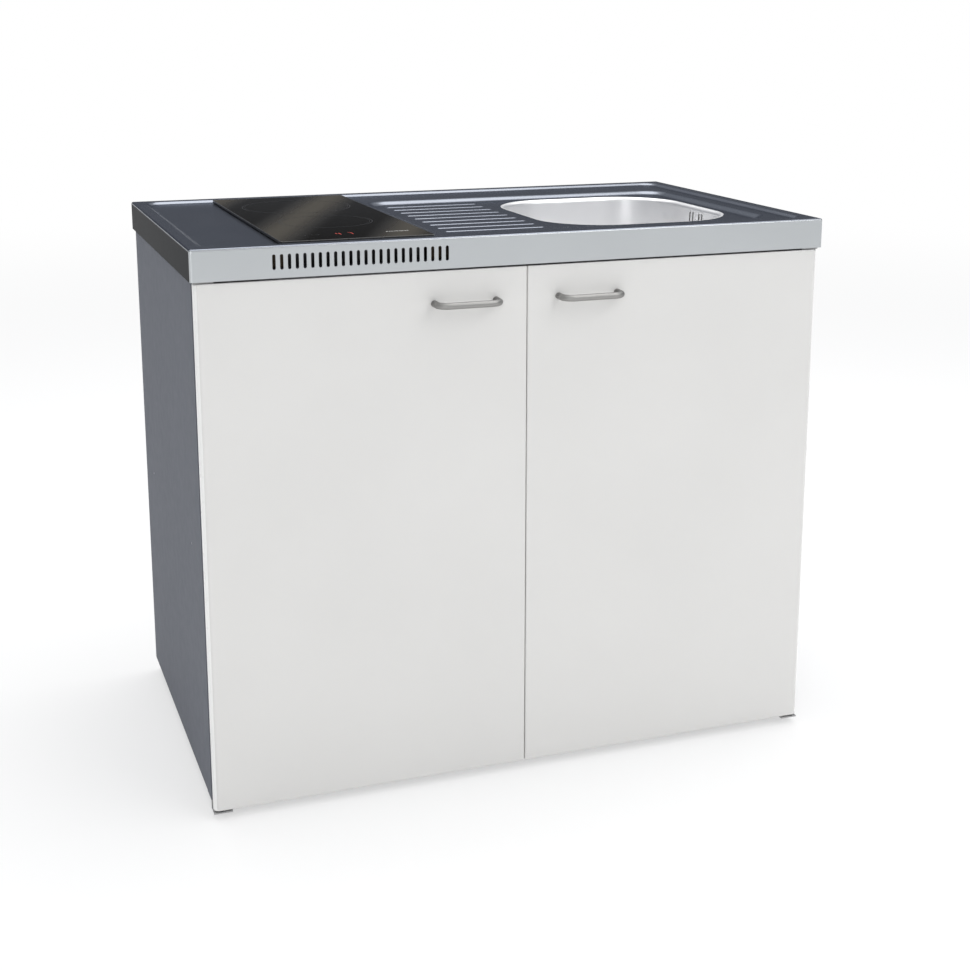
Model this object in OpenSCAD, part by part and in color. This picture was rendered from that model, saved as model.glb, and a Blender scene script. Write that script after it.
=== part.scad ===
// Kitchenette unit: a two-door steel base cabinet under a pressed stainless
// worktop with a flat glass hob at the left, a drainer and a sink bowl at the right.
// Millimetres. X runs along the width, Y from the front to the back, Z is up.
// The origin lies on the floor, under the middle of the whole unit.

/* [Overall] */
// Width of the worktop
unit_w = 1000; // [833:1:1200]
// Depth of the worktop
unit_d = 600; // [500:1:720]
// Height of the worktop's rim above the floor
unit_h = 860; // [717:1:1032]

/* [Worktop] */
// Thickness of the pressed sheet
sheet_t = 1; // [0.8:0.1:1.5]
// Height of the folded edge all round
apron_h = 46; // [38:1:56]
// Outside radius of the folded edge
edge_r = 3; // [2:0.5:5]
// Width of the flat rim
rim_w = 18; // [15:1:24]
// Depth of the field below the rim
field_drop = 4; // [3:0.5:5]
// Run of the slope from the rim down to the field
field_slope = 10; // [8:1:12]
// Corner radius of the field at the rim
field_corner_r = 30; // [25:1:40]
// Depth of the drainer below the field
drainer_drop = 6; // [5:1:8]
// Run of the slope from the field down to the drainer
drainer_slope = 16; // [12:1:20]
// Corner radius of the drainer at the field
drainer_corner_r = 45; // [40:1:60]
// Share of the spare width that the drainer's ribs take, the flat left field takes the rest
rib_share = 0.604; // [0.4:0.01:0.7]
// Number of ribs
rib_count = 9; // [7:1:10]
// Radius of a rib's round top
rib_r = 5; // [4:0.5:6]
// Height of a rib
rib_h = 2.5; // [2:0.5:3]
// Flat metal left of the ribs
rib_margin_left = 18; // [12:1:24]
// Flat metal between the ribs and the bowl
rib_margin_right = 22; // [18:1:30]
// Flat metal in front of the first rib
rib_margin_front = 42; // [35:1:50]
// Flat metal behind the last rib
rib_margin_back = 34; // [28:1:42]

/* [Vent slots] */
// Number of slots
vent_count = 24; // [16:1:24]
// Distance from slot to slot
vent_pitch = 11.1; // [10:0.1:12]
// Width of a slot
vent_w = 4.8; // [4:0.1:6]
// Length of a slot
vent_l = 22; // [18:1:24]
// Offset of the row from the middle of the hob
vent_offset = -4; // [-8:1:8]

/* [Sink bowl] */
// Width of the bowl's opening
bowl_w = 330; // [275:1:396]
// Depth of the bowl below the drainer
bowl_depth = 152; // [127:1:182]
// Corner radius of the opening
bowl_corner_r = 110; // [100:1:120]
// Radius over the bowl's lip
bowl_lip_r = 7; // [5:1:9]
// Inward lean of the walls
bowl_taper = 6; // [4:1:8]
// Radius between the walls and the bottom
bowl_bottom_r = 40; // [30:1:46]
// Worktop edge to the bowl, at the front
bowl_front_margin = 110; // [100:1:125]
// Flat metal between the bowl and the drainer's front slope
bowl_front_flat = 28; // [20:1:32]
// Flat tap ledge behind the drainer, with its rim
tap_ledge = 106; // [95:1:125]
// Flat metal between the bowl and the drainer's other slopes
bowl_flat = 8; // [6:1:12]
// Field between the drainer's slope and the right rim's slope
right_field = 21; // [18:1:26]
// Offset of the overflow from the middle of the bowl
overflow_offset = -12; // [-20:1:20]
// Depth of the overflow's middle below the drainer
overflow_z = 22; // [22:1:30]

/* [Waste and trap] */
// Radius of the waste's hole in the bowl
waste_hole_r = 45; // [40:1:48]
// Outside radius of the waste pipe
pipe_r = 20; // [16:0.5:25]
// Wall of the plastic pipes
pipe_t = 1.8; // [1.5:0.1:2.5]
// Play of a pipe in its socket
pipe_fit = 0.3; // [0.2:0.05:0.5]
// Height of the trap's bottle
bottle_h = 110; // [92:1:132]
// Outside radius of the trap's bottle
bottle_r = 36; // [32:1:42]

/* [Hob] */
// Width of the glass
hob_w = 230; // [200:1:260]
// Thickness of the glass
glass_t = 4; // [3.5:0.5:6]
// Gap between the glass and the slope at the front and back
hob_gap = 2; // [1:0.5:4]
// Gap between the glass and the drainer's slope
hob_side_gap = 13; // [10:1:20]
// Overlap of the glass over the cut-out's edge
hob_lap = 12; // [10:1:15]
// Depth of the hob's tray below the field
tray_depth = 58; // [50:1:65]
// Radius of the rear heater
rear_heater_r = 90; // [75:1:92]
// Radius of the front heater
front_heater_r = 72.5; // [60:0.5:80]

/* [Cabinet] */
// Thickness of the folded cabinet sheet
steel_t = 1.2; // [1:0.1:1.5]
// Distance of the cabinet's side behind the worktop's side
side_inset = 5; // [4:1:8]
// Distance of the cabinet's back in front of the worktop's back
back_inset = 4; // [3:1:8]
// Width of the folded flanges
flange_w = 20; // [18:1:26]
// Height of the cabinet's bottom above the floor
foot_h = 24; // [22:1:29]
// Height of the floor panel's fold
plinth_h = 28; // [26:1:40]
// Height of the top rails
rail_h = 44; // [40:1:55]
// Depth of the front rail
rail_d = 14; // [12:1:16]
// Height of the timber battens
batten_h = 31; // [24:1:40]
// Width of the timber battens
batten_w = 34; // [30:1:36]
// Height of the shelf above the floor
shelf_z = 420; // [300:1:460]
// Thickness of the shelf's fold
shelf_t = 18; // [16:1:25]

/* [Doors] */
// Thickness of a door
door_t = 20; // [18:0.5:24]
// Thickness of the door's sheet
skin_t = 0.8; // [0.7:0.1:1.2]
// Radius of a door's upright edge at the hinge
door_r = 6; // [4:0.5:6.5]
// Radius of a door's upright edge at the split
door_close_r = 2; // [1.5:0.5:4]
// Distance of the doors behind the worktop's front
door_setback = 3; // [2:0.5:6]
// Gap above, below and behind a door
door_gap = 3; // [2.5:0.5:4]
// Gap between the two doors
door_split = 1; // [1:0.5:3]
// Distance that the doors hang below the cabinet's bottom
door_hang = 9; // [8:1:12]

/* [Hinges] */
// Radius of the hinge pins
pin_r = 4; // [3:0.5:5]
// Length of a pin in the door
pin_l = 16; // [12:1:20]
// Radial play of a pin in its block
pin_fit = 0.05; // [0.02:0.01:0.1]
// Thickness of the bracket plates
bracket_t = 2; // [1.5:0.1:2.4]

/* [Handles] */
// Distance between a handle's two legs
handle_pitch = 96; // [80:1:128]
// Radius of the handle's rod
handle_r = 5; // [4:0.5:6]
// Distance of the rod's outer side from the door
handle_reach = 33; // [28:1:40]
// Radius of the rod's bends, to its middle
handle_bend_r = 15; // [12:1:18]
// Distance of the rod's middle below the door's top
handle_drop = 48; // [40:1:80]
// Distance of the rod's middle from the split between the doors
handle_inset = 98; // [90:1:130]

/* [Feet] */
// Radius of a foot's disc
foot_r = 20; // [16:1:25]
// Thickness of a foot's disc
foot_t = 8; // [6:1:9]
// Radius of a foot's screw
stud_r = 4; // [3:0.5:5]
// Distance of a foot from the cabinet's corner
foot_inset = 45; // [35:1:60]

/* [Hidden] */
$fn = 48;
// Overshoot of a cut past the face that it starts from
cut = 1;
// Gap between pieces that are pushed together
seat = 0.1;
// Play of screws, pins and inserts in their holes
slip = 0.05;

// Levels
field_z = unit_h - field_drop;
drainer_z = field_z - drainer_drop;
under_field_z = field_z - sheet_t;
apron_z = unit_h - apron_h;
battens_z = under_field_z - batten_h;
carcass_z = foot_h;
carcass_top = battens_z;
floor_z = carcass_z + plinth_h;
rail_z = carcass_top - rail_h;
bowl_z = drainer_z - bowl_depth;
door_z = carcass_z - door_hang;
door_top = apron_z - door_gap;
door_h = door_top - door_z;
handle_z = door_top - handle_drop;

// Front to back: 0 is the front of the worktop, here called plan Y
door_back = door_setback + door_t;
carcass_front = door_back + door_gap;
carcass_back = unit_d - back_inset;
rail_front = carcass_front + steel_t;
panel_y = carcass_back - steel_t;
mid_y = (unit_d + door_setback - handle_reach) / 2;

// Side to side: 0 is the middle
side_x = unit_w / 2 - side_inset;
door_w = side_x - door_split / 2;
field_x = unit_w / 2 - rim_w - field_slope;
field_y = rim_w + field_slope;

// Bowl, drainer and hob in plan
bowl_right = field_x - right_field - drainer_slope - bowl_flat;
bowl_x = bowl_right - bowl_w / 2;
bowl_d = unit_d - bowl_front_margin - tap_ledge - drainer_slope - bowl_flat;
bowl_y = bowl_front_margin + bowl_d / 2;
overflow_y = bowl_y + overflow_offset;
bowl_left = bowl_right - bowl_w;
spare_w = bowl_left + field_x - hob_w - hob_side_gap - drainer_slope - rib_margin_left - rib_margin_right;
rib_l = spare_w * rib_share;
rib_x = bowl_left - rib_margin_right - rib_l;
drainer_left = rib_x - rib_margin_left - drainer_slope;
drainer_right = bowl_right + bowl_flat + drainer_slope;
drainer_front = bowl_front_margin - bowl_front_flat - drainer_slope;
drainer_back = bowl_front_margin + bowl_d + bowl_flat + drainer_slope;
drainer_w = drainer_right - drainer_left;
drainer_d = drainer_back - drainer_front;
drainer_x = (drainer_left + drainer_right) / 2;
drainer_y = (drainer_front + drainer_back) / 2;
drainer_inner_r = drainer_corner_r - drainer_slope;
rib_first = drainer_front + drainer_slope + rib_margin_front;
rib_last = drainer_back - drainer_slope - rib_margin_back;
rib_pitch = (rib_last - rib_first) / (rib_count - 1);
hob_right = drainer_left - hob_side_gap;
hob_x = hob_right - hob_w / 2;
hob_d = unit_d - 2 * field_y - 2 * hob_gap;
hob_y = unit_d / 2;
cut_w = hob_w - 2 * hob_lap;
cut_d = hob_d - 2 * hob_lap;
cut_r = 6;
vent_x = hob_x + vent_offset;

// Bowl section, measured outwards from the centre of a corner
bowl_wall_r = bowl_corner_r - bowl_lip_r;
bowl_foot_r = bowl_wall_r - bowl_taper - bowl_bottom_r;
bowl_wall_h = bowl_depth - bowl_lip_r - bowl_bottom_r;
bowl_lean = atan(bowl_taper / bowl_wall_h);
bowl_floor_w = bowl_w - 2 * (bowl_corner_r - bowl_foot_r);
bowl_floor_d = bowl_d - 2 * (bowl_corner_r - bowl_foot_r);
overflow_level = drainer_z - overflow_z;
overflow_slot_w = 4.5;
overflow_slot_l = 24;
overflow_pitch = 11;
overflow_screw_r = 1.5;

// Hob stack
seal_t = 1;
seal_w = 8;
glass_z = field_z + seal_t;
tray_t = 1;
tray_gap = 2;
tray_w = cut_w - 2 * tray_gap;
tray_d = cut_d - 2 * tray_gap;
tray_z = field_z - tray_depth;
tray_h = glass_z - tray_z;
heater_h = 26;
heater_top = glass_z - 3;
heater_z = heater_top - heater_h;
dish_t = 0.8;
insulation_t = 14;
ribbon_h = 6;
ribbon_pitch = 13;
limiter_r = 2;
limiter_z = heater_h - limiter_r - 1;
control_in = 8;
control_d = 62;
control_w = 170;
control_t = 2;
control_y = hob_y - tray_d / 2 + control_in + control_d / 2;
// The two heaters share the tray's spare length behind the controls in three equal gaps
heater_gap = (tray_d - control_in - control_d - 2 * rear_heater_r - 2 * front_heater_r) / 3;
rear_heater_y = hob_y + tray_d / 2 - heater_gap - rear_heater_r;
front_heater_y = rear_heater_y - rear_heater_r - heater_gap - front_heater_r;
board_t = 1.6;
board_drop = 12;
terminal_w = 24;
terminal_h = 20;
terminal_in = 4;
gland_r = 9;
gland_bore_r = 5;
gland_thread_r = 7;
gland_below = 16;
gland_above = 8;
gland_in = 14;
gland_x = hob_x - tray_w / 2 + gland_in;
gland_y = hob_y + tray_d / 2 - gland_in;

// Waste, from the bowl downwards
seat_drop = 3;
seat_r = waste_hole_r + 13;
seat_z = bowl_z - seat_drop;
cup_t = 1.5;
cup_r = waste_hole_r - 2;
cup_h = 42;
cup_z = seat_z + cup_t - cup_h;
body_t = 3;
body_r = cup_r + 1.5;
gasket_t = 3;
gasket_z = seat_z - sheet_t - gasket_t;
body_flange_t = 4;
body_z = cup_z - 18;
socket_r = pipe_r + 3.5;
socket_l = 38;
socket_z = body_z - socket_l;
web_h = 8;
screw_r = 3;
screw_head_h = 3;
nut_r = pipe_r + 10;
nut_h = 20;
tail_overlap = 18;
bottle_top = socket_z - 60;
neck_l = 26;
bottle_z = bottle_top - bottle_h;
cup_wall = 3;
trap_cup_h = 32;
trap_z = bottle_z - cup_wall - seat;
outlet_z = bottle_top - pipe_r - 8;
tail_z = bottle_z + 32;
bottle_t = 2.5;
outlet_end = unit_d - 2;
outlet_start = bowl_y + bottle_r + 8;
nut_lip = 6;

// Overflow, from the bowl's right wall to the side of the waste
head_w = 60;
head_h = 28;
head_t = 16;
head_wall = 2;
head_gasket_t = 2;
hose_r = 10;
hose_t = 2;
hose_bend_r = 26;
spout_l = 20;
head_x = bowl_right - bowl_lip_r - bowl_taper * (overflow_z - bowl_lip_r) / bowl_wall_h + sheet_t + slip;
hose_x = head_x + head_gasket_t + head_t / 2;
hose_angle = atan2(overflow_y - bowl_y, hose_x - bowl_x);
// Rounded, so that the hose's lengths meet exactly
hose_reach = round(100 * norm([overflow_y - bowl_y, hose_x - bowl_x])) / 100;
port_l = 14;
port_z = body_z + 16;

// Hinges: the pivot lies in the middle of the door's thickness
pivot_in = 10;
pivot_x = side_x - pivot_in;
pivot_y = door_setback + door_t / 2;
collar_r = 6.5;
door_edge_r = 3;
door_lip = 12;
liner_in = door_r + 0.5;
block_w = 24;
block_h = 32;
block_in = 2.6;
bracket_w = 28;
bracket_l = 34;
ear_z = door_top + (door_gap - bracket_t) / 2;
low_ear_top = door_z - door_gap;

// Screws and small pieces
handle_screw_r = 2;
handle_screw_depth = 12;
magnet_w = 42;
magnet_d = 24;
magnet_h = 14;
magnet_x = handle_inset;
buffer_r = 5;
buffer_x = 32;
top_screw_r = 2;
top_screw_l = 18;
wall_hole_r = 4;
wall_hole_spacing = 2 * (side_x - 130);
wall_hole_z = rail_z + rail_h * 0.4;
service_w = 260;
service_h = 260;
service_z = min(outlet_z + 60, rail_z - 20) - service_h;
partition_t = 16;
shelf_pin_r = 2.5;
shelf_pin_l = 8;

batten_in = 3;
cross_w = 28;
tray_to_batten = 7;
pad_t = 3;
rear_rail_d = 32;
front_screw_y = rail_front + steel_t + 4.5;
rear_screw_y = panel_y - 2 * steel_t - 12;
screw_x = side_x - 55;
top_screw_points = [
    [-screw_x, front_screw_y], [drainer_x, front_screw_y], [screw_x, front_screw_y],
    [-screw_x, rear_screw_y], [drainer_x, rear_screw_y], [screw_x, rear_screw_y]
];
shelf_pin_ys = [carcass_front + 90, carcass_back - 90];
shelf_pin_z = shelf_z - shelf_t - shelf_pin_r - seat;

// Colours
stainless = [0.72, 0.75, 0.77];
bright_steel = [0.85, 0.86, 0.87];
zinc = [0.62, 0.64, 0.66];
cabinet_grey = [0.47, 0.48, 0.50];
door_white = [0.87, 0.86, 0.85];
glass_black = [0.13, 0.13, 0.12];
timber = [0.76, 0.63, 0.45];
pipe_white = [0.92, 0.92, 0.91];
rubber_black = [0.12, 0.12, 0.12];
handle_grey = [0.62, 0.62, 0.60];
mineral = [0.90, 0.88, 0.82];
board_green = [0.10, 0.35, 0.20];
nylon = [0.30, 0.31, 0.32];

// ---------------------------------------------------------------- shared shapes

// Moves plan coordinates, with Y from the worktop's front, to the unit's own origin
module placed() {
    translate([0, -mid_y, 0]) children();
}

// A box between two corners
module between(low, high) {
    translate(low) cube(high - low);
}

// A rectangle with round corners, centred
module rounded_rect(w, d, r) {
    square([w - 2 * r, d], center = true);
    square([w, d - 2 * r], center = true);
    for (sx = [-1, 1], sy = [-1, 1])
        translate([sx * (w / 2 - r), sy * (d / 2 - r)]) circle(r);
}

// A slot with round ends along the second axis, centred
module slot_outline(w, l) {
    square([w, l - w], center = true);
    for (s = [-1, 1]) translate([0, s * (l - w) / 2]) circle(w / 2);
}

// The child section, drawn outwards from a corner's centre, swept round a rounded rectangle
module swept(w, d, r) {
    for (i = [0:3]) {
        along = i % 2 == 0 ? w - 2 * r : d - 2 * r;
        across = i % 2 == 0 ? d / 2 - r : w / 2 - r;
        rotate([0, 0, 90 * i]) {
            translate([-along / 2, across, 0]) rotate([90, 0, 90]) linear_extrude(along) children();
            translate([-along / 2, across, 0]) rotate([0, 0, 90]) rotate_extrude(angle = 90) children();
        }
    }
}

// A quarter of a ring, in the quadrant that starts at the given angle
module quarter_ring(r_out, r_in, angle) {
    rotate(angle) intersection() {
        difference() {
            circle(r_out);
            circle(r_in);
        }
        square(r_out);
    }
}

// A tube between two heights
module tube(r_out, r_in, z_low, z_high) {
    translate([0, 0, z_low]) difference() {
        cylinder(r = r_out, h = z_high - z_low);
        translate([0, 0, -cut]) cylinder(r = r_in, h = z_high - z_low + 2 * cut);
    }
}

// A sheet slope that falls inwards from z by drop over a run, round a rounded rectangle
module slope(w, d, r, z, drop, run) {
    swept(w, d, r) polygon([[r, z], [r - run, z - drop], [r - run, z - drop - sheet_t], [r, z - sheet_t]]);
}

// ---------------------------------------------------------------- worktop

module vent_slots() {
    for (i = [0:vent_count - 1])
        translate([vent_x + (i - (vent_count - 1) / 2) * vent_pitch, sheet_t + cut, apron_z + apron_h / 2])
            rotate([90, 0, 0]) linear_extrude(sheet_t + 2 * cut) slot_outline(vent_w, vent_l);
}

// The folded edge: a bend over the top, the apron and a narrow hem inside its lower edge
module apron() {
    corner_r = edge_r + 1;
    swept(unit_w, unit_d, corner_r) {
        translate([corner_r - edge_r, unit_h - edge_r]) quarter_ring(edge_r, edge_r - sheet_t, 0);
        translate([corner_r - sheet_t, apron_z]) square([sheet_t, apron_h - edge_r]);
    }
    hem = side_inset - 1.5;
    translate([0, 0, apron_z]) linear_extrude(sheet_t) difference() {
        rounded_rect(unit_w - sheet_t, unit_d - sheet_t, corner_r - sheet_t / 2);
        rounded_rect(unit_w - 2 * hem, unit_d - 2 * hem, corner_r - sheet_t);
    }
}

module rim_and_field() {
    translate([0, 0, unit_h - sheet_t]) linear_extrude(sheet_t) difference() {
        rounded_rect(unit_w - 2 * edge_r, unit_d - 2 * edge_r, 1);
        rounded_rect(unit_w - 2 * rim_w, unit_d - 2 * rim_w, field_corner_r);
    }
    slope(unit_w - 2 * rim_w, unit_d - 2 * rim_w, field_corner_r, unit_h, field_drop, field_slope);
    translate([0, 0, under_field_z]) linear_extrude(sheet_t) difference() {
        rounded_rect(2 * field_x, unit_d - 2 * field_y, field_corner_r - field_slope);
        translate([drainer_x, drainer_y - unit_d / 2]) rounded_rect(drainer_w, drainer_d, drainer_corner_r);
        translate([hob_x, hob_y - unit_d / 2]) rounded_rect(cut_w, cut_d, cut_r);
    }
}

// One round-topped rib of the drainer, along X
module rib() {
    intersection() {
        translate([0, 0, rib_h - rib_r]) {
            translate([rib_r, 0, 0]) rotate([0, 90, 0]) cylinder(r = rib_r, h = rib_l - 2 * rib_r);
            for (x = [rib_r, rib_l - rib_r]) translate([x, 0, 0]) sphere(rib_r);
        }
        between([0, -rib_r, -sheet_t / 2], [rib_l, rib_r, rib_h + cut]);
    }
}

module drainer() {
    translate([drainer_x, drainer_y, 0]) {
        slope(drainer_w, drainer_d, drainer_corner_r, field_z, drainer_drop, drainer_slope);
        translate([0, 0, drainer_z - sheet_t]) linear_extrude(sheet_t) difference() {
            rounded_rect(drainer_w - 2 * drainer_slope, drainer_d - 2 * drainer_slope, drainer_inner_r);
            translate([bowl_x - drainer_x, bowl_y - drainer_y]) rounded_rect(bowl_w, bowl_d, bowl_corner_r);
        }
    }
    for (i = [0:rib_count - 1])
        translate([rib_x, rib_first + i * rib_pitch, drainer_z]) rib();
}

module worktop() {
    color(stainless) placed() {
        difference() {
            translate([0, unit_d / 2, 0]) apron();
            vent_slots();
        }
        translate([0, unit_d / 2, 0]) rim_and_field();
        drainer();
    }
}

// ---------------------------------------------------------------- sink bowl

// Section of the bowl's sheet: lip, leaning wall and bottom bend
module bowl_section() {
    lip_z = drainer_z - bowl_lip_r;
    wall_low_r = bowl_wall_r - bowl_taper;
    wall_low_z = bowl_z + bowl_bottom_r;
    translate([bowl_corner_r, lip_z]) quarter_ring(bowl_lip_r, bowl_lip_r - sheet_t, 90);
    polygon([
        [bowl_wall_r, lip_z],
        [bowl_wall_r + sheet_t, lip_z],
        [wall_low_r + sheet_t, wall_low_z],
        [wall_low_r, wall_low_z]
    ]);
    translate([bowl_foot_r, wall_low_z]) quarter_ring(bowl_bottom_r + sheet_t, bowl_bottom_r, 270);
}

module overflow_slots() {
    for (dy = [-2, -1, 1, 2])
        translate([head_x - 10, overflow_y + dy * overflow_pitch, overflow_level])
            rotate([90, 0, 90]) linear_extrude(20) slot_outline(overflow_slot_w, overflow_slot_l);
    translate([head_x - 10, overflow_y, overflow_level]) rotate([0, 90, 0])
        cylinder(r = overflow_screw_r + 0.3, h = 20);
}

module sink_bowl() {
    color(bright_steel) placed() {
        difference() {
            translate([bowl_x, bowl_y, 0]) swept(bowl_w, bowl_d, bowl_corner_r) bowl_section();
            overflow_slots();
        }
        translate([bowl_x, bowl_y, 0]) {
            translate([0, 0, bowl_z - sheet_t]) linear_extrude(sheet_t) difference() {
                rounded_rect(bowl_floor_w, bowl_floor_d, bowl_foot_r);
                circle(seat_r);
            }
            tube(seat_r + sheet_t, seat_r, seat_z - sheet_t, bowl_z - sheet_t);
            tube(seat_r, waste_hole_r, seat_z - sheet_t, seat_z);
        }
    }
}

// Damping pads glued under the bowl, in front of the waste and behind it
module sound_pads() {
    pad_w = bowl_floor_w - 2 * (bowl_foot_r - 10);
    pad_near = seat_r + 8;
    pad_far = bowl_floor_d / 2 - 9;
    color(rubber_black) placed() translate([bowl_x, bowl_y, bowl_z - sheet_t - pad_t]) for (a = [0, 180])
        rotate([0, 0, a]) between([-pad_w / 2, pad_near, 0], [pad_w / 2, pad_far, pad_t]);
}

// ---------------------------------------------------------------- battens under the worktop

// A batten between two plan corners, from the cabinet up to the field's sheet
module batten(low, high) {
    between([low[0], low[1], battens_z], [high[0], high[1], under_field_z]);
}

module pilot_holes(points) {
    for (p = points) translate([p[0], p[1], battens_z - cut])
        cylinder(r = top_screw_r + slip, h = top_screw_l + cut);
}

// The timber round the edge, left open in front of the hob, where the vent slots let air in
module edge_battens() {
    out_x = unit_w / 2 - batten_in;
    in_x = out_x - batten_w;
    front_y = batten_in + batten_w;
    rear_y = unit_d - front_y;
    vent_half = (vent_count - 1) / 2 * vent_pitch + vent_w / 2 + 8;
    color(timber) placed() difference() {
        union() {
            batten([-out_x, batten_in], [vent_x - vent_half, front_y]);
            batten([vent_x + vent_half, batten_in], [out_x, front_y]);
            batten([-out_x, rear_y], [out_x, unit_d - batten_in]);
            batten([-out_x, front_y + seat], [-in_x, rear_y - seat]);
            batten([in_x, front_y + seat], [out_x, rear_y - seat]);
        }
        pilot_holes(top_screw_points);
    }
}

// The timber beside the hob's cut-out and behind the drainer
module cross_battens() {
    front_y = batten_in + batten_w + seat;
    rear_y = unit_d - front_y;
    left_x = hob_x - cut_w / 2 - tray_to_batten;
    right_x = hob_x + cut_w / 2 + tray_to_batten;
    side_batten_x = unit_w / 2 - batten_in - batten_w - seat;
    drainer_clear = 2;
    color(timber) placed() {
        batten([left_x - cross_w, front_y], [left_x, rear_y]);
        batten([right_x, front_y], [drainer_left - drainer_clear, rear_y]);
        batten(
            [drainer_left - drainer_clear + seat, drainer_back + 2 * drainer_clear],
            [side_batten_x, drainer_back + 2 * drainer_clear + batten_w]
        );
    }
}

// ---------------------------------------------------------------- hob

module hob_glass() {
    color(glass_black) placed() translate([hob_x, hob_y, glass_z])
        linear_extrude(glass_t) rounded_rect(hob_w, hob_d, 4);
}

// Foam tape between the glass and the field
module hob_seal() {
    inset = 2;
    color(rubber_black) placed() translate([hob_x, hob_y, field_z]) linear_extrude(seal_t) difference() {
        rounded_rect(hob_w - 2 * inset, hob_d - 2 * inset, 3);
        rounded_rect(hob_w - 2 * inset - 2 * seal_w, hob_d - 2 * inset - 2 * seal_w, 2);
    }
}

// Cooling slots through the tray's front wall and floor
module tray_slots() {
    slot_pitch = 16;
    slots = floor((tray_w - 40) / slot_pitch);
    for (i = [0:slots - 1]) {
        x = (i - (slots - 1) / 2) * slot_pitch;
        translate([x, -tray_d / 2 + tray_t + cut, tray_h / 2]) rotate([90, 0, 0])
            linear_extrude(tray_t + 2 * cut) slot_outline(6, tray_h * 0.55);
        translate([x, front_heater_y - hob_y - front_heater_r, -cut])
            linear_extrude(tray_t + 2 * cut) slot_outline(6, 30);
    }
}

// An upturned channel that carries a heater dish
module heater_bridge(y) {
    half_w = 40;
    half_d = 14;
    leg_t = 1.5;
    top = heater_z - tray_z;
    for (s = [-1, 1])
        between([s * half_w - leg_t / 2, y - half_d, tray_t], [s * half_w + leg_t / 2, y + half_d, top]);
    between([-half_w, y - half_d, top - leg_t], [half_w, y + half_d, top]);
}

module hob_tray() {
    flange = 8;
    color(zinc) placed() translate([hob_x, hob_y, tray_z]) {
        difference() {
            translate([-tray_w / 2, -tray_d / 2, 0]) cube([tray_w, tray_d, tray_h]);
            translate([-tray_w / 2 + tray_t, -tray_d / 2 + tray_t, tray_t])
                cube([tray_w - 2 * tray_t, tray_d - 2 * tray_t, tray_h - 2 * tray_t]);
            translate([-tray_w / 2 + flange, -tray_d / 2 + flange, tray_h - tray_t - cut])
                cube([tray_w - 2 * flange, tray_d - 2 * flange, tray_t + 2 * cut]);
            tray_slots();
            translate([gland_x - hob_x, gland_y - hob_y, -cut])
                cylinder(r = gland_thread_r + slip, h = tray_t + 2 * cut);
        }
        heater_bridge(rear_heater_y - hob_y);
        heater_bridge(front_heater_y - hob_y);
    }
}

// Spring clips on the tray's sides that press up against the worktop's sheet
module hob_clips() {
    clip_l = 24;
    clip_h = 26;
    clip_t = 1;
    reach = tray_gap + 4;
    color(zinc) placed() translate([hob_x, hob_y, 0]) for (s = [-1, 1], e = [-1, 1])
        scale([s, 1, 1]) translate([tray_w / 2, e * (tray_d / 2 - 70), under_field_z]) {
            between([0, -clip_l / 2, -clip_h], [clip_t, clip_l / 2, 0]);
            between([0, -clip_l / 2, -clip_t], [reach, clip_l / 2, 0]);
        }
}

module at_heaters() {
    translate([hob_x, rear_heater_y, heater_z]) {
        $heater_r = rear_heater_r;
        children();
    }
    translate([hob_x, front_heater_y, heater_z]) {
        $heater_r = front_heater_r;
        children();
    }
}

// Where the limiter's rod passes a heater's wall, turned towards a corner of the tray
module limiter_notch() {
    rotate([0, 0, -45]) translate([$heater_r - 20, -limiter_r - 0.5, limiter_z - limiter_r - 0.5])
        cube([30, 2 * limiter_r + 1, heater_h]);
}

module heater_dishes() {
    color(zinc) placed() at_heaters() difference() {
        cylinder(r = $heater_r, h = heater_h - 2);
        translate([0, 0, dish_t]) cylinder(r = $heater_r - dish_t, h = heater_h);
        limiter_notch();
    }
}

module heater_insulation() {
    rim = 9;
    color(mineral) placed() at_heaters() difference() {
        translate([0, 0, dish_t]) cylinder(r = $heater_r - dish_t - seat, h = heater_h - dish_t);
        translate([0, 0, dish_t + insulation_t]) cylinder(r = $heater_r - dish_t - rim, h = heater_h);
        limiter_notch();
    }
}

// Flat heating ribbons standing in rings on the insulation
module heater_ribbons() {
    rings = 4;
    color(zinc) placed() at_heaters() for (i = [0:rings - 1]) {
        r = $heater_r - 20 - i * ribbon_pitch;
        tube(r, r - 0.8, dish_t + insulation_t, dish_t + insulation_t + ribbon_h);
    }
}

module heater_limiters() {
    box_w = 12;
    color(mineral) placed() at_heaters() rotate([0, 0, -45])
        translate([0, 0, limiter_z]) {
            rotate([0, 90, 0]) cylinder(r = limiter_r, h = $heater_r + 2);
            translate([$heater_r + 1, -box_w / 2, -limiter_r - 8]) cube([box_w, box_w, 10]);
        }
}

module control_box() {
    post_r = 4;
    wall_h = tray_h - tray_t - seal_t - seat;
    post_h = glass_z - board_drop - board_t - tray_z - tray_t;
    color(nylon) placed() translate([hob_x, control_y, tray_z + tray_t]) {
        difference() {
            translate([-control_w / 2, -control_d / 2, 0]) cube([control_w, control_d, wall_h]);
            translate([-control_w / 2 + control_t, -control_d / 2 + control_t, control_t])
                cube([control_w - 2 * control_t, control_d - 2 * control_t, wall_h]);
        }
        for (sx = [-1, 1], sy = [-1, 1])
            translate([sx * (control_w / 2 - 10), sy * (control_d / 2 - 10), control_t])
                cylinder(r = post_r, h = post_h - control_t);
    }
}

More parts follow.
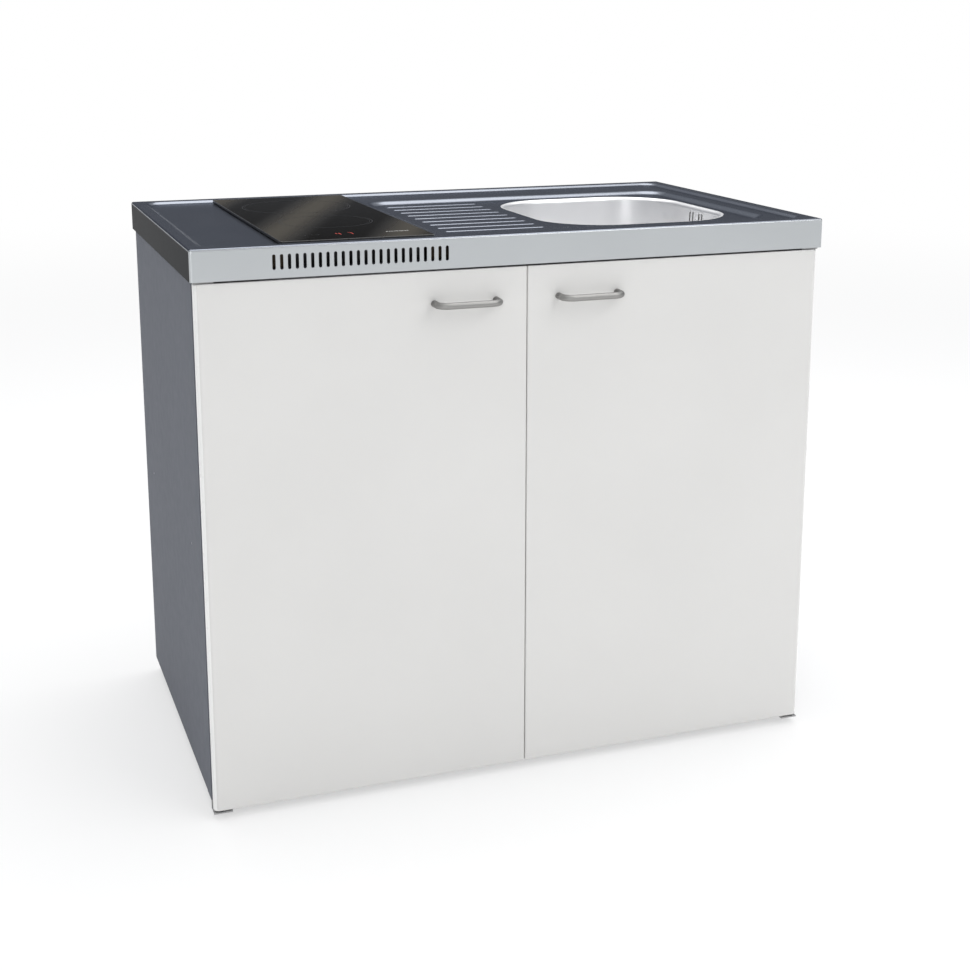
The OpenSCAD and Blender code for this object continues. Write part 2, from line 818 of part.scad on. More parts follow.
// The board under the glass, with the display and the touch sensors' pads
module control_board() {
    play = 1;
    board_z = glass_z - board_drop - board_t;
    pad_h = board_drop - 0.4;
    color(board_green) placed() translate([hob_x, control_y, board_z]) {
        translate([-control_w / 2 + control_t + play, -control_d / 2 + control_t + play, 0])
            cube([control_w - 2 * control_t - 2 * play, control_d - 2 * control_t - 2 * play, board_t]);
        between([-18, -6, board_t], [18, 8, board_t + pad_h]);
        for (x = [-62, -42, 34, 48, 62])
            translate([x, 0, board_t]) cylinder(r = 5, h = pad_h);
    }
}

module terminal_block() {
    half = terminal_w / 2;
    x = hob_x + tray_w / 2 - tray_t - terminal_in - half;
    y = hob_y + tray_d / 2 - tray_t - terminal_in - half;
    color(nylon) placed() translate([x, y, tray_z + tray_t]) difference() {
        between([-half, -half, 0], [half, half, terminal_h]);
        for (dx = [-7, 0, 7]) translate([dx, 0, terminal_h / 2]) cylinder(r = 2, h = terminal_h);
    }
}

// The strain relief for the mains lead, through the tray's floor
module cable_gland() {
    color(nylon) placed() translate([gland_x, gland_y, tray_z]) difference() {
        union() {
            translate([0, 0, -gland_below]) cylinder(r = gland_r - 1, h = gland_below);
            translate([0, 0, -gland_below * 0.4]) cylinder(r = gland_r, h = gland_below * 0.4);
            cylinder(r = gland_thread_r, h = gland_above);
            translate([0, 0, tray_t]) cylinder(r = gland_r, h = 4);
        }
        translate([0, 0, -gland_below - cut])
            cylinder(r = gland_bore_r, h = gland_below + gland_above + 2 * cut);
    }
}

// ---------------------------------------------------------------- waste and trap

module at_waste() {
    translate([bowl_x, bowl_y, 0]) children();
}

module waste_cup() {
    holes = 8;
    color(bright_steel) placed() at_waste() difference() {
        union() {
            tube(seat_r - 1, cup_r - cup_t, seat_z, seat_z + cup_t);
            tube(cup_r, cup_r - cup_t, cup_z, seat_z + cup_t);
            translate([0, 0, cup_z]) cylinder(r = cup_r, h = cup_t);
        }
        translate([0, 0, cup_z - cut]) cylinder(r = screw_r + slip, h = cup_t + 2 * cut);
        for (i = [0:holes - 1]) rotate([0, 0, i * 360 / holes])
            translate([cup_r * 0.6, 0, cup_z - cut]) cylinder(r = 5, h = cup_t + 2 * cut);
    }
}

// The washer under the bowl and the frame behind its wall
module waste_gaskets() {
    color(rubber_black) placed() {
        at_waste() tube(seat_r - 1, body_r, gasket_z, gasket_z + gasket_t);
        at_overflow() rotate([90, 0, 90]) linear_extrude(head_gasket_t) difference() {
            square([head_w, head_h], center = true);
            square([head_w - 2 * head_wall - 2, head_h - 2 * head_wall + 1], center = true);
        }
    }
}

// Turns children towards the overflow, seen from the waste's axis
module towards_overflow() {
    rotate([0, 0, hose_angle]) children();
}

module waste_body() {
    outer_r = body_r + body_t;
    socket_in = pipe_r + pipe_fit;
    web_w = 6;
    boss_r = screw_r + 3.5;
    port_out = hose_r - hose_t - slip;
    port_in = port_out - 2;
    color(pipe_white) placed() at_waste() difference() {
        union() {
            tube(seat_r - 1, body_r, gasket_z - body_flange_t, gasket_z);
            tube(outer_r, body_r, body_z, gasket_z);
            tube(outer_r, socket_in, body_z, body_z + body_t);
            tube(socket_r, socket_in, socket_z, body_z);
            translate([-socket_in - 1, -web_w / 2, body_z - web_h]) cube([2 * socket_in + 2, web_w, web_h]);
            translate([0, 0, body_z - web_h]) cylinder(r = boss_r, h = web_h);
            towards_overflow() translate([body_r + body_t / 2, 0, port_z]) rotate([0, 90, 0])
                cylinder(r = port_out, h = body_t / 2 + port_l);
        }
        translate([0, 0, body_z - web_h - cut]) cylinder(r = screw_r + slip, h = web_h + 2 * cut);
        towards_overflow() translate([body_r - cut, 0, port_z]) rotate([0, 90, 0])
            cylinder(r = port_in, h = body_t + port_l + 2 * cut);
    }
}

// The waste's middle screw and the overflow's screw
module waste_screws() {
    head_r = screw_r + 2.5;
    overflow_head_r = overflow_screw_r + 1.8;
    color(bright_steel) placed() {
        at_waste() {
            translate([0, 0, cup_z + cup_t]) cylinder(r = head_r, h = screw_head_h);
            translate([0, 0, body_z - web_h + 1]) cylinder(r = screw_r, h = cup_z + cup_t + 1 - body_z + web_h);
        }
        at_overflow() rotate([0, 90, 0]) {
            translate([0, 0, -sheet_t - 2 * slip - 1.6]) cylinder(r = overflow_head_r, h = 1.6);
            translate([0, 0, -sheet_t - 1]) cylinder(r = overflow_screw_r, h = head_gasket_t + head_t);
        }
    }
}

// The lift-out basket that stands on the waste's screw
module basket_strainer() {
    rest_z = cup_z + cup_t + screw_head_h + seat;
    basket_r = cup_r - cup_t - 4;
    wall = 1.2;
    foot_h_in = 5;
    rim_z = bowl_z - 9;
    holes = 10;
    color(bright_steel) placed() at_waste() {
        difference() {
            union() {
                tube(basket_r, basket_r - wall, rest_z + foot_h_in, rim_z);
                tube(cup_r - cup_t - 0.5, basket_r - wall, rim_z - wall, rim_z);
                translate([0, 0, rest_z + foot_h_in]) cylinder(r = basket_r, h = wall);
            }
            for (ring = [1, 2], i = [0:ring * holes - 1]) rotate([0, 0, i * 360 / (ring * holes)])
                translate([ring * 12 + 4, 0, rest_z + foot_h_in - cut]) cylinder(r = 2, h = wall + 2 * cut);
        }
        translate([0, 0, rest_z]) cylinder(r = 5, h = bowl_z - rest_z - 6);
        translate([0, 0, bowl_z - 8]) cylinder(r = 9, h = 7);
    }
}

// The frame of the overflow: X points out of the bowl, square to its leaning wall
module at_overflow() {
    translate([head_x, overflow_y, overflow_level]) rotate([0, bowl_lean, 0]) children();
}

module overflow_head() {
    spout_r = hose_r - hose_t - slip;
    spout_top = overflow_level - head_h / 2 + 3;
    color(pipe_white) placed() difference() {
        union() {
            at_overflow() difference() {
                translate([head_gasket_t, -head_w / 2, -head_h / 2]) cube([head_t, head_w, head_h]);
                translate([head_gasket_t - cut, -head_w / 2 + head_wall, -head_h / 2 + head_wall])
                    cube([head_t - head_wall + cut, head_w - 2 * head_wall, head_h - 2 * head_wall]);
            }
            at_overflow() translate([head_gasket_t, 0, 0]) rotate([0, 90, 0]) cylinder(r = 4, h = head_t - 1);
            translate([hose_x, overflow_y, spout_top - spout_l]) cylinder(r = spout_r, h = spout_l);
        }
        at_overflow() translate([-cut, 0, 0]) rotate([0, 90, 0])
            cylinder(r = overflow_screw_r + slip, h = head_t + head_gasket_t - 1);
        translate([hose_x, overflow_y, spout_top - spout_l - cut]) cylinder(r = spout_r - 2, h = spout_l + cut);
    }
}

// A bent run from the waste's side port to the foot of the overflow's spout, drawn with Y up,
// and longer at both ends by an overshoot
module hose_run(r, over) {
    start = body_r + body_t + 1 - over;
    bend_x = hose_reach - hose_bend_r;
    bend_y = port_z + hose_bend_r;
    translate([start, port_z, 0]) rotate([0, 90, 0]) cylinder(r = r, h = bend_x - start);
    translate([bend_x, bend_y, 0]) rotate([0, 0, -90])
        rotate_extrude(angle = 90) translate([hose_bend_r, 0]) circle(r);
    translate([hose_reach, bend_y, 0]) rotate([-90, 0, 0])
        cylinder(r = r, h = overflow_level - head_h / 2 - 1 - bend_y + over);
}

module overflow_hose() {
    color(pipe_white) placed() at_waste() towards_overflow() rotate([90, 0, 0]) difference() {
        hose_run(hose_r, 0);
        hose_run(hose_r - hose_t, cut);
    }
}

module trap_tailpipe() {
    color(pipe_white) placed() at_waste() tube(pipe_r, pipe_r - pipe_t, tail_z, socket_z + tail_overlap);
}

module trap_bottle() {
    socket_in = pipe_r + pipe_fit;
    color(pipe_white) placed() at_waste() difference() {
        union() {
            translate([0, 0, bottle_z]) cylinder(r = bottle_r, h = bottle_h);
            translate([0, 0, bottle_top]) cylinder(r = socket_r, h = neck_l);
            translate([0, 0, outlet_z]) rotate([-90, 0, 0]) cylinder(r = socket_r, h = bottle_r + neck_l);
        }
        translate([0, 0, bottle_z - cut]) cylinder(r = bottle_r - bottle_t, h = bottle_h - bottle_t + cut);
        translate([0, 0, bottle_top - bottle_t - cut]) cylinder(r = socket_in, h = neck_l + bottle_t + 2 * cut);
        translate([0, 0, outlet_z]) rotate([-90, 0, 0]) cylinder(r = socket_in, h = bottle_r + neck_l + cut);
    }
}

// The cup that unscrews from the bottle for cleaning
module trap_cup() {
    inner_r = bottle_r + seat;
    outer_r = inner_r + cup_wall;
    ribs = 16;
    color(pipe_white) placed() at_waste() difference() {
        union() {
            translate([0, 0, trap_z]) cylinder(r = outer_r, h = trap_cup_h);
            for (i = [0:ribs - 1]) rotate([0, 0, i * 360 / ribs])
                translate([outer_r, 0, trap_z]) cylinder(r = 1.6, h = trap_cup_h, $fn = 24);
        }
        translate([0, 0, trap_z + cup_wall]) cylinder(r = inner_r, h = trap_cup_h);
    }
}

// A union nut over a socket's mouth: z rises towards the mouth, with a lip over the pipe
module union_nut() {
    ribs = 12;
    difference() {
        union() {
            cylinder(r = nut_r - 1.5, h = nut_h);
            for (i = [0:ribs - 1]) rotate([0, 0, i * 360 / ribs])
                translate([nut_r - 1.5, 0, 0]) cylinder(r = 1.5, h = nut_h, $fn = 24);
        }
        translate([0, 0, -cut]) cylinder(r = socket_r + seat, h = nut_h - nut_lip + cut);
        cylinder(r = pipe_r + pipe_fit, h = nut_h + cut);
    }
}

module trap_nuts() {
    grip = nut_h - nut_lip;
    color(pipe_white) placed() at_waste() {
        translate([0, 0, socket_z + grip]) rotate([180, 0, 0]) union_nut();
        translate([0, 0, bottle_top + neck_l - grip]) union_nut();
        translate([0, bottle_r + neck_l - grip, outlet_z]) rotate([-90, 0, 0]) union_nut();
    }
}

// The pipe to the wall, with a bead that stops it from sliding into the bottle
module outlet_pipe() {
    bead_w = 3;
    bead_z = bowl_y + bottle_r + neck_l + nut_lip + pipe_fit - outlet_start;
    color(pipe_white) placed() translate([bowl_x, outlet_start, outlet_z]) rotate([-90, 0, 0]) {
        tube(pipe_r, pipe_r - pipe_t, 0, outlet_end - outlet_start);
        tube(pipe_r + bead_w, pipe_r - 0.5, bead_z, bead_z + bead_w);
    }
}

// ---------------------------------------------------------------- cabinet

module shelf_pin_holes() {
    for (y = shelf_pin_ys) translate([-side_x - cut, y, shelf_pin_z]) rotate([0, 90, 0])
        cylinder(r = shelf_pin_r + slip, h = side_x + cut + partition_t);
}

// The left side: an outer sheet with a flange folded in on each edge
module side_tray() {
    low = [-side_x, carcass_front, carcass_z];
    high = [-side_x + flange_w, carcass_back, carcass_top];
    difference() {
        between(low, high);
        between(
            [-side_x + steel_t, carcass_front + steel_t, carcass_z + steel_t],
            [-side_x + flange_w + cut, carcass_back - steel_t, carcass_top - steel_t]
        );
        shelf_pin_holes();
    }
}

module left_side() {
    color(cabinet_grey) placed() side_tray();
}

module right_side() {
    color(cabinet_grey) placed() mirror([1, 0, 0]) side_tray();
}

// The floor of the cabinet, folded down at the front and back
module floor_panel() {
    half_w = side_x - steel_t - seat;
    back_y = panel_y - steel_t;
    low_z = carcass_z + steel_t;
    color(cabinet_grey) placed() {
        between([-half_w, rail_front, floor_z - steel_t], [half_w, back_y, floor_z]);
        between([-half_w, rail_front, low_z], [half_w, rail_front + steel_t, floor_z - steel_t]);
        between([-half_w, back_y - steel_t, low_z], [half_w, back_y, floor_z - steel_t]);
    }
}

module wall_holes() {
    for (s = [-1, 1]) translate([s * wall_hole_spacing / 2, carcass_back + cut, wall_hole_z]) rotate([90, 0, 0])
        cylinder(r = wall_hole_r, h = 4 * steel_t + 2 * cut);
}

// The back, with the opening for the waste pipe behind the trap
module back_panel() {
    half_w = side_x - steel_t - seat;
    color(cabinet_grey) placed() difference() {
        between([-half_w, panel_y - steel_t, carcass_z + steel_t], [half_w, panel_y, carcass_top - steel_t]);
        between(
            [bowl_x - service_w / 2, panel_y - steel_t - cut, service_z],
            [bowl_x + service_w / 2, panel_y + cut, service_z + service_h]
        );
        wall_holes();
    }
}

module rail_screw_holes() {
    for (p = top_screw_points) translate([p[0], p[1], carcass_top - 2 * steel_t - cut])
        cylinder(r = top_screw_r + slip, h = 2 * steel_t + 2 * cut);
}

// A channel that is open towards the middle of the cabinet, between two depths
module rail(front_y, back_y, web_at_front) {
    half_w = side_x - steel_t - seat;
    top = carcass_top - steel_t;
    web_y = web_at_front ? front_y : back_y - steel_t;
    flange_front = web_at_front ? front_y + steel_t : front_y;
    flange_back = web_at_front ? back_y : back_y - steel_t;
    between([-half_w, web_y, rail_z], [half_w, web_y + steel_t, top]);
    for (z = [rail_z, top - steel_t])
        between([-half_w, flange_front, z], [half_w, flange_back, z + steel_t]);
}

module front_rail() {
    color(cabinet_grey) placed() difference() {
        rail(rail_front, rail_front + rail_d, true);
        rail_screw_holes();
    }
}

module rear_rail() {
    back_y = panel_y - steel_t;
    color(cabinet_grey) placed() difference() {
        rail(back_y - rear_rail_d, back_y, false);
        rail_screw_holes();
        wall_holes();
    }
}

// The upright between the two compartments
module partition() {
    half = partition_t / 2;
    back_y = panel_y - steel_t;
    color(cabinet_grey) placed() difference() {
        between([-half, rail_front, floor_z], [half, back_y, rail_z]);
        between(
            [-half + steel_t, rail_front + steel_t, floor_z + steel_t],
            [half + cut, back_y - steel_t, rail_z - steel_t]
        );
        shelf_pin_holes();
    }
}

module shelf() {
    play = 1.5;
    low_x = -side_x + steel_t + play;
    high_x = -partition_t / 2 - play;
    front_y = rail_front + 30;
    back_y = panel_y - steel_t - play;
    color(cabinet_grey) placed() difference() {
        between([low_x, front_y, shelf_z - shelf_t], [high_x, back_y, shelf_z]);
        between(
            [low_x + steel_t, front_y + steel_t, shelf_z - shelf_t - cut],
            [high_x - steel_t, back_y - steel_t, shelf_z - steel_t]
        );
    }
}

// Pins through the side and the partition, with a collar inside, under the shelf's folded ends
module shelf_pins() {
    collar = 1.5;
    color(zinc) placed() for (y = shelf_pin_ys) {
        translate([-side_x + 0.2, y, shelf_pin_z]) rotate([0, 90, 0])
            cylinder(r = shelf_pin_r, h = steel_t + shelf_pin_l);
        translate([-partition_t / 2 + steel_t + 4, y, shelf_pin_z]) rotate([0, -90, 0])
            cylinder(r = shelf_pin_r, h = steel_t + 4 + shelf_pin_l);
    }
}

module at_foot_corners() {
    for (sx = [-1, 1], y = [carcass_front + foot_inset, carcass_back - foot_inset])
        translate([sx * (side_x - foot_inset), y, 0]) children();
}

// Threaded blocks under the floor panel that take the feet's screws
module foot_blocks() {
    half = 18;
    color(nylon) placed() at_foot_corners() difference() {
        between([-half, -half, carcass_z + steel_t], [half, half, floor_z - steel_t]);
        translate([0, 0, carcass_z]) cylinder(r = stud_r + slip, h = plinth_h);
    }
}

// A levelling foot: a disc on a screw
module foot(sx, y) {
    stud_top = floor_z - steel_t - 1;
    color(nylon) placed() translate([sx * (side_x - foot_inset), y, 0]) {
        cylinder(r = foot_r - 2, h = 2);
        translate([0, 0, 2]) cylinder(r = foot_r, h = foot_t - 2);
        translate([0, 0, foot_t - 1]) cylinder(r = stud_r, h = stud_top - foot_t + 1);
    }
}

module foot_front_left() foot(-1, carcass_front + foot_inset);
module foot_front_right() foot(1, carcass_front + foot_inset);
module foot_rear_left() foot(-1, carcass_back - foot_inset);
module foot_rear_right() foot(1, carcass_back - foot_inset);

// ---------------------------------------------------------------- hinges and catches

module both_sides() {
    children();
    mirror([1, 0, 0]) children();
}

// Upper angles on the side's front flange and lower steps under the cabinet
module hinge_brackets() {
    front_y = pivot_y - collar_r - 1.5;
    inner_x = -side_x + bracket_w;
    leg_back = carcass_front + bracket_t;
    color(zinc) placed() both_sides() difference() {
        union() {
            between([-side_x, front_y, ear_z], [inner_x, carcass_front, ear_z + bracket_t]);
            between([-side_x, carcass_front - bracket_t, ear_z], [inner_x, carcass_front, carcass_top]);
            between([-side_x, front_y, low_ear_top - bracket_t], [inner_x, leg_back, low_ear_top]);
            between([-side_x, carcass_front, low_ear_top - bracket_t], [inner_x, leg_back, carcass_z]);
            between([-side_x, carcass_front, carcass_z - bracket_t], [inner_x, carcass_front + bracket_l, carcass_z]);
        }
        translate([-pivot_x, pivot_y, 0]) cylinder(r = pin_r + slip, h = unit_h);
    }
}

module hinge_pins() {
    upper_low = door_top - pin_l;
    upper_high = ear_z + bracket_t;
    lower_low = low_ear_top - bracket_t;
    color(bright_steel) placed() both_sides() translate([-pivot_x, pivot_y, 0]) {
        translate([0, 0, upper_low]) cylinder(r = pin_r, h = upper_high - upper_low);
        translate([0, 0, lower_low]) cylinder(r = pin_r, h = door_z + pin_l - lower_low);
    }
}

// Magnets under the front rail that hold the steel doors shut
module catch_magnets() {
    front_y = door_back + 0.3;
    color(nylon) placed() both_sides()
        between(
            [-magnet_x - magnet_w / 2, front_y, rail_z - magnet_h],
            [-magnet_x + magnet_w / 2, front_y + magnet_d, rail_z]
        );
}

module door_buffers() {
    color(rubber_black) placed() both_sides()
        for (z = [door_top - 14, carcass_z + plinth_h / 2])
            translate([-buffer_x, door_back + 0.2, z]) rotate([-90, 0, 0])
                cylinder(r = buffer_r, h = rail_front - door_back - 0.2);
}

// Screws up through the rails into the battens
module worktop_screws() {
    head_h = 2;
    head_z = carcass_top - 2 * steel_t;
    color(zinc) placed() for (p = top_screw_points) translate([p[0], p[1], 0]) {
        translate([0, 0, head_z - head_h]) cylinder(r = 4, h = head_h);
        translate([0, 0, head_z - head_h])
            cylinder(r = top_screw_r, h = head_h + 2 * steel_t + top_screw_l - 1);
    }
}

// ---------------------------------------------------------------- doors, drawn as the left one

// A rectangle from the origin whose corners have one radius at the left and another at the right
module two_radius_rect(w, d, left_r, right_r) {
    translate([left_r, 0]) square([w - left_r - right_r, d]);
    translate([0, left_r]) square([w / 2, d - 2 * left_r]);
    translate([w / 2, right_r]) square([w / 2, d - 2 * right_r]);
    for (y = [left_r, d - left_r]) translate([left_r, y]) circle(left_r);
    for (y = [right_r, d - right_r]) translate([w - right_r, y]) circle(right_r);
}

// A slab with round upright edges, and rounds along its top and bottom edges
module rounded_slab(low, high, hinge_r, close_r, edge) {
    size = high - low;
    mid = (low + high) / 2;
    intersection() {
        translate(low) linear_extrude(size[2]) two_radius_rect(size[0], size[1], hinge_r, close_r);
        translate([low[0], mid[1], mid[2]]) rotate([90, 0, 90]) linear_extrude(size[0])
            rounded_rect(size[1], size[2], edge);
    }
}

module handle_points() {
    for (s = [-1, 1])
        translate([-handle_inset + s * handle_pitch / 2, 0, handle_z]) rotate([90, 0, 0]) children();
}

module pivot_holes(r) {
    translate([-pivot_x, pivot_y, door_z - cut]) cylinder(r = r, h = door_h + 2 * cut);
}

door_low = [-side_x, door_setback, door_z];
door_high = [-side_x + door_w, door_back, door_top];

module door_skin() {
    skin = [skin_t, skin_t, skin_t];
    difference() {
        rounded_slab(door_low, door_high, door_r, door_close_r, door_edge_r);
        rounded_slab(
            door_low + skin, door_high - skin,
            door_r - skin_t, door_close_r - skin_t, door_edge_r - skin_t
        );
        between(
            [door_low[0] + door_lip, door_back - skin_t - cut, door_low[2] + door_lip],
            [door_high[0] - door_lip, door_back + cut, door_high[2] - door_lip]
        );
        pivot_holes(collar_r + slip);
        translate([0, door_setback + skin_t + cut, 0]) handle_points()
            cylinder(r = handle_screw_r + slip, h = skin_t + 2 * cut);
    }
}

module door_liner() {
    difference() {
        between(
            [door_low[0] + liner_in, door_back - 2 * skin_t, door_low[2] + liner_in],
            [door_high[0] - liner_in, door_back - skin_t, door_high[2] - liner_in]
        );
        translate([0, door_back + cut, 0]) handle_points()
            cylinder(r = handle_screw_r + slip, h = 2 * skin_t + 2 * cut);
    }
}

// Honeycomb filling, beside the hollow that holds the pivot blocks
module door_core() {
    difference() {
        between(
            [door_low[0] + block_in + block_w + 3, door_setback + skin_t + seat, door_low[2] + liner_in],
            [door_high[0] - liner_in, door_back - 2 * skin_t - seat, door_high[2] - liner_in]
        );
        translate([0, door_back + cut, 0]) handle_points()
            cylinder(r = handle_screw_r + 1, h = door_t + 2 * cut);
    }
}

// A nylon block at the top and the bottom, whose collar comes out of the door's edge
module pivot_blocks() {
    low_x = door_low[0] + block_in;
    high_x = low_x + block_w;
    low_y = door_setback + block_in;
    high_y = door_back - block_in;
    skin_low = door_z + skin_t;
    skin_high = door_top - skin_t;
    difference() {
        union() {
            between([low_x, low_y, skin_low + seat], [high_x, high_y, skin_low + block_h]);
            between([low_x, low_y, skin_high - block_h], [high_x, high_y, skin_high - seat]);
            translate([-pivot_x, pivot_y, low_ear_top + seat]) cylinder(r = collar_r, h = door_gap + skin_t);
            translate([-pivot_x, pivot_y, skin_high - 1])
                cylinder(r = collar_r, h = ear_z - seat - skin_high + 1);
        }
        translate([-pivot_x, pivot_y, low_ear_top]) cylinder(r = pin_r + pin_fit, h = door_gap + pin_l + 2);
        translate([-pivot_x, pivot_y, door_top - pin_l - 2])
            cylinder(r = pin_r + pin_fit, h = pin_l + 2 + door_gap);
    }
}

// A bow of round rod: two legs, two bends and a straight grip
module handle() {
    rod_y = door_setback - handle_reach + handle_r;
    bend_y = rod_y + handle_bend_r;
    half = handle_pitch / 2;
    translate([-handle_inset, 0, handle_z]) {
        translate([-half + handle_bend_r, rod_y, 0]) rotate([0, 90, 0])
            cylinder(r = handle_r, h = handle_pitch - 2 * handle_bend_r);
        for (s = [-1, 1]) scale([s, 1, 1]) {
            translate([half - handle_bend_r, bend_y, 0]) rotate([0, 0, -90])
                rotate_extrude(angle = 90) translate([handle_bend_r, 0]) circle(handle_r);
            difference() {
                translate([half, door_setback, 0]) rotate([90, 0, 0])
                    cylinder(r = handle_r, h = door_setback - bend_y);
                translate([half, door_setback + cut, 0]) rotate([90, 0, 0])
                    cylinder(r = handle_screw_r + slip, h = handle_screw_depth + cut);
            }
        }
    }
}

module handle_screws() {
    head_h = 2;
    back_y = door_back - skin_t;
    translate([0, back_y + head_h, 0]) handle_points() {
        cylinder(r = 4, h = head_h);
        cylinder(r = handle_screw_r, h = head_h + back_y - door_setback + handle_screw_depth - 1);
    }
}

module left_door_skin() { color(door_white) placed() door_skin(); }
module left_door_core() { color(mineral) placed() door_core(); }
module left_door_liner() { color(door_white) placed() door_liner(); }
module left_pivot_blocks() { color(nylon) placed() pivot_blocks(); }
module left_handle() { color(handle_grey) placed() handle(); }
module left_handle_screws() { color(zinc) placed() handle_screws(); }
module right_door_skin() { color(door_white) placed() mirror([1, 0, 0]) door_skin(); }
module right_door_core() { color(mineral) placed() mirror([1, 0, 0]) door_core(); }
module right_door_liner() { color(door_white) placed() mirror([1, 0, 0]) door_liner(); }
module right_pivot_blocks() { color(nylon) placed() mirror([1, 0, 0]) pivot_blocks(); }
module right_handle() { color(handle_grey) placed() mirror([1, 0, 0]) handle(); }
module right_handle_screws() { color(zinc) placed() mirror([1, 0, 0]) handle_screws(); }

worktop();
sink_bowl();
sound_pads();
edge_battens();
cross_battens();
hob_glass();
hob_seal();
hob_tray();
hob_clips();
heater_dishes();
heater_insulation();
heater_ribbons();
heater_limiters();
control_box();
control_board();
terminal_block();
cable_gland();
waste_cup();
waste_gaskets();
waste_body();
waste_screws();
basket_strainer();
overflow_head();
overflow_hose();
trap_tailpipe();
trap_bottle();
trap_cup();
trap_nuts();
outlet_pipe();
left_side();
right_side();
floor_panel();
back_panel();
front_rail();
rear_rail();
partition();
shelf();
shelf_pins();
foot_blocks();
hinge_brackets();
hinge_pins();
catch_magnets();
door_buffers();
worktop_screws();
foot_front_left();
foot_front_right();
foot_rear_left();
foot_rear_right();
left_door_skin();
left_door_core();
left_door_liner();
left_pivot_blocks();
left_handle();
left_handle_screws();
right_door_skin();
right_door_core();
right_door_liner();
right_pivot_blocks();
right_handle();
right_handle_screws();
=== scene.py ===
# %% [markdown]
# # A kitchenette unit: pressed steel worktop, glass hob, sink bowl, steel cabinet
#
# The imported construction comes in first, and everything else is built around it.
# All lengths are metres. X runs along the width, Y from the doors to the back, Z is up.

# %% Load the construction
import math

import bmesh
import bpy
from mathutils import Matrix, Vector


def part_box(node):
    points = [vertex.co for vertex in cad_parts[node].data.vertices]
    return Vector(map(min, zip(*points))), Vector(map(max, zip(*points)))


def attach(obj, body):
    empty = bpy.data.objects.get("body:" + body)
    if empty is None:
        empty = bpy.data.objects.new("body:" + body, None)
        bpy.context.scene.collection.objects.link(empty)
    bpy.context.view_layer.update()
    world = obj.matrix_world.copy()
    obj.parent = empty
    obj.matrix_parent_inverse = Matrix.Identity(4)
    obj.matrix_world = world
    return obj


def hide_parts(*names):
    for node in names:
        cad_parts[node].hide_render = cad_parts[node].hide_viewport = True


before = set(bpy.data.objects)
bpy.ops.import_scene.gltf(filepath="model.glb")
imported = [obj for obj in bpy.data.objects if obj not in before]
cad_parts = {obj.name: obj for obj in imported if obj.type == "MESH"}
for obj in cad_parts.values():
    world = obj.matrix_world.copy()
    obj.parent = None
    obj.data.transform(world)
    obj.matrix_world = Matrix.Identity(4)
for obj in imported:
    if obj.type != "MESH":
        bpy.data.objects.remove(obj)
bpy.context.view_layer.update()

# %% [markdown]
# ## Camera
#
# The picture was taken from the front left, a little above the worktop, with the camera almost
# level and its upright edges nearly parallel. Such pictures come from a lens that is shifted
# against the sensor, so a small share of the framing is done with the camera's shift.

# %% Camera
scene = bpy.context.scene
camera = bpy.data.objects.new("camera", bpy.data.cameras.new("camera"))
scene.collection.objects.link(camera)
camera.location = (-0.8365, -2.4175, 1.1761)
CAMERA_DOWN, CAMERA_RIGHT = 12.46, 19.81
camera.rotation_euler = (math.radians(90 - CAMERA_DOWN), 0, math.radians(-CAMERA_RIGHT))
camera.data.sensor_width = 36
camera.data.lens = 57.98
camera.data.shift_y = -0.13
scene.camera = camera
scene.view_settings.view_transform = "Standard"
print("camera at", tuple(camera.location))

# %% [markdown]
# ## Floor and light
#
# A product studio has a pale floor that runs into a low curved wall. A plain disc would show its
# edge as a hard line, so the disc's rim is bent upwards in small steps far behind the object.
# Seen directly or in a mirror, the floor fades to plain white with the distance, and near the
# object it keeps enough of its own shading to hold the shadow.

# %% Floor
FLOOR_R, COVE_R, COVE_STEPS = 26.0, 1.6, 8
NEAR_R, FAR_R, NEAR_WHITE = 1.6, 7.0, 0.55
RIGHT_ANGLE = math.radians(90)


def link_object(name, bm, materials):
    """Puts a finished bmesh into the scene as one object at the origin."""
    mesh = bpy.data.meshes.new(name)
    bm.to_mesh(mesh)
    bm.free()
    for material in materials:
        mesh.materials.append(material)
    thing = bpy.data.objects.new(name, mesh)
    scene.collection.objects.link(thing)
    return thing


def set_inputs(node, **values):
    """Sets a node's input values; a key's underscores stand for spaces."""
    for socket, value in values.items():
        node.inputs[socket.replace("_", " ")].default_value = value


def add_node(tree, kind, **values):
    """Adds a node with its input values."""
    node = tree.nodes.new(kind)
    set_inputs(node, **values)
    return node


def math_node(tree, operation, first, second, clamp=False):
    """A sum or product of two sockets or numbers."""
    node = tree.nodes.new("ShaderNodeMath")
    node.operation = operation
    node.use_clamp = clamp
    for socket, value in zip(node.inputs, (first, second)):
        if isinstance(value, float):
            socket.default_value = value
        else:
            tree.links.new(value, socket)
    return node.outputs["Value"]


floor_paint = bpy.data.materials.new("studio_floor")
floor_paint.use_nodes = True
tree = floor_paint.node_tree
surface = tree.nodes["Principled BSDF"]
set_inputs(surface, Base_Color=(0.93, 0.93, 0.93, 1), Roughness=0.9, Specular_IOR_Level=0.1)
rays = tree.nodes.new("ShaderNodeLightPath").outputs
seen = math_node(tree, "ADD", rays["Is Camera Ray"], rays["Is Glossy Ray"], clamp=True)
seen = math_node(tree, "ADD", seen, rays["Is Transmission Ray"], clamp=True)
place = tree.nodes.new("ShaderNodeTexCoord").outputs["Object"]
distance = tree.nodes.new("ShaderNodeVectorMath")
distance.operation = "LENGTH"
tree.links.new(place, distance.inputs[0])
fade = add_node(tree, "ShaderNodeMapRange", From_Min=NEAR_R, From_Max=FAR_R, To_Min=NEAR_WHITE, To_Max=1.0)
fade.interpolation_type = "SMOOTHSTEP"
tree.links.new(distance.outputs["Value"], fade.inputs["Value"])
white = add_node(tree, "ShaderNodeEmission", Color=(1, 1, 1, 1), Strength=1.0)
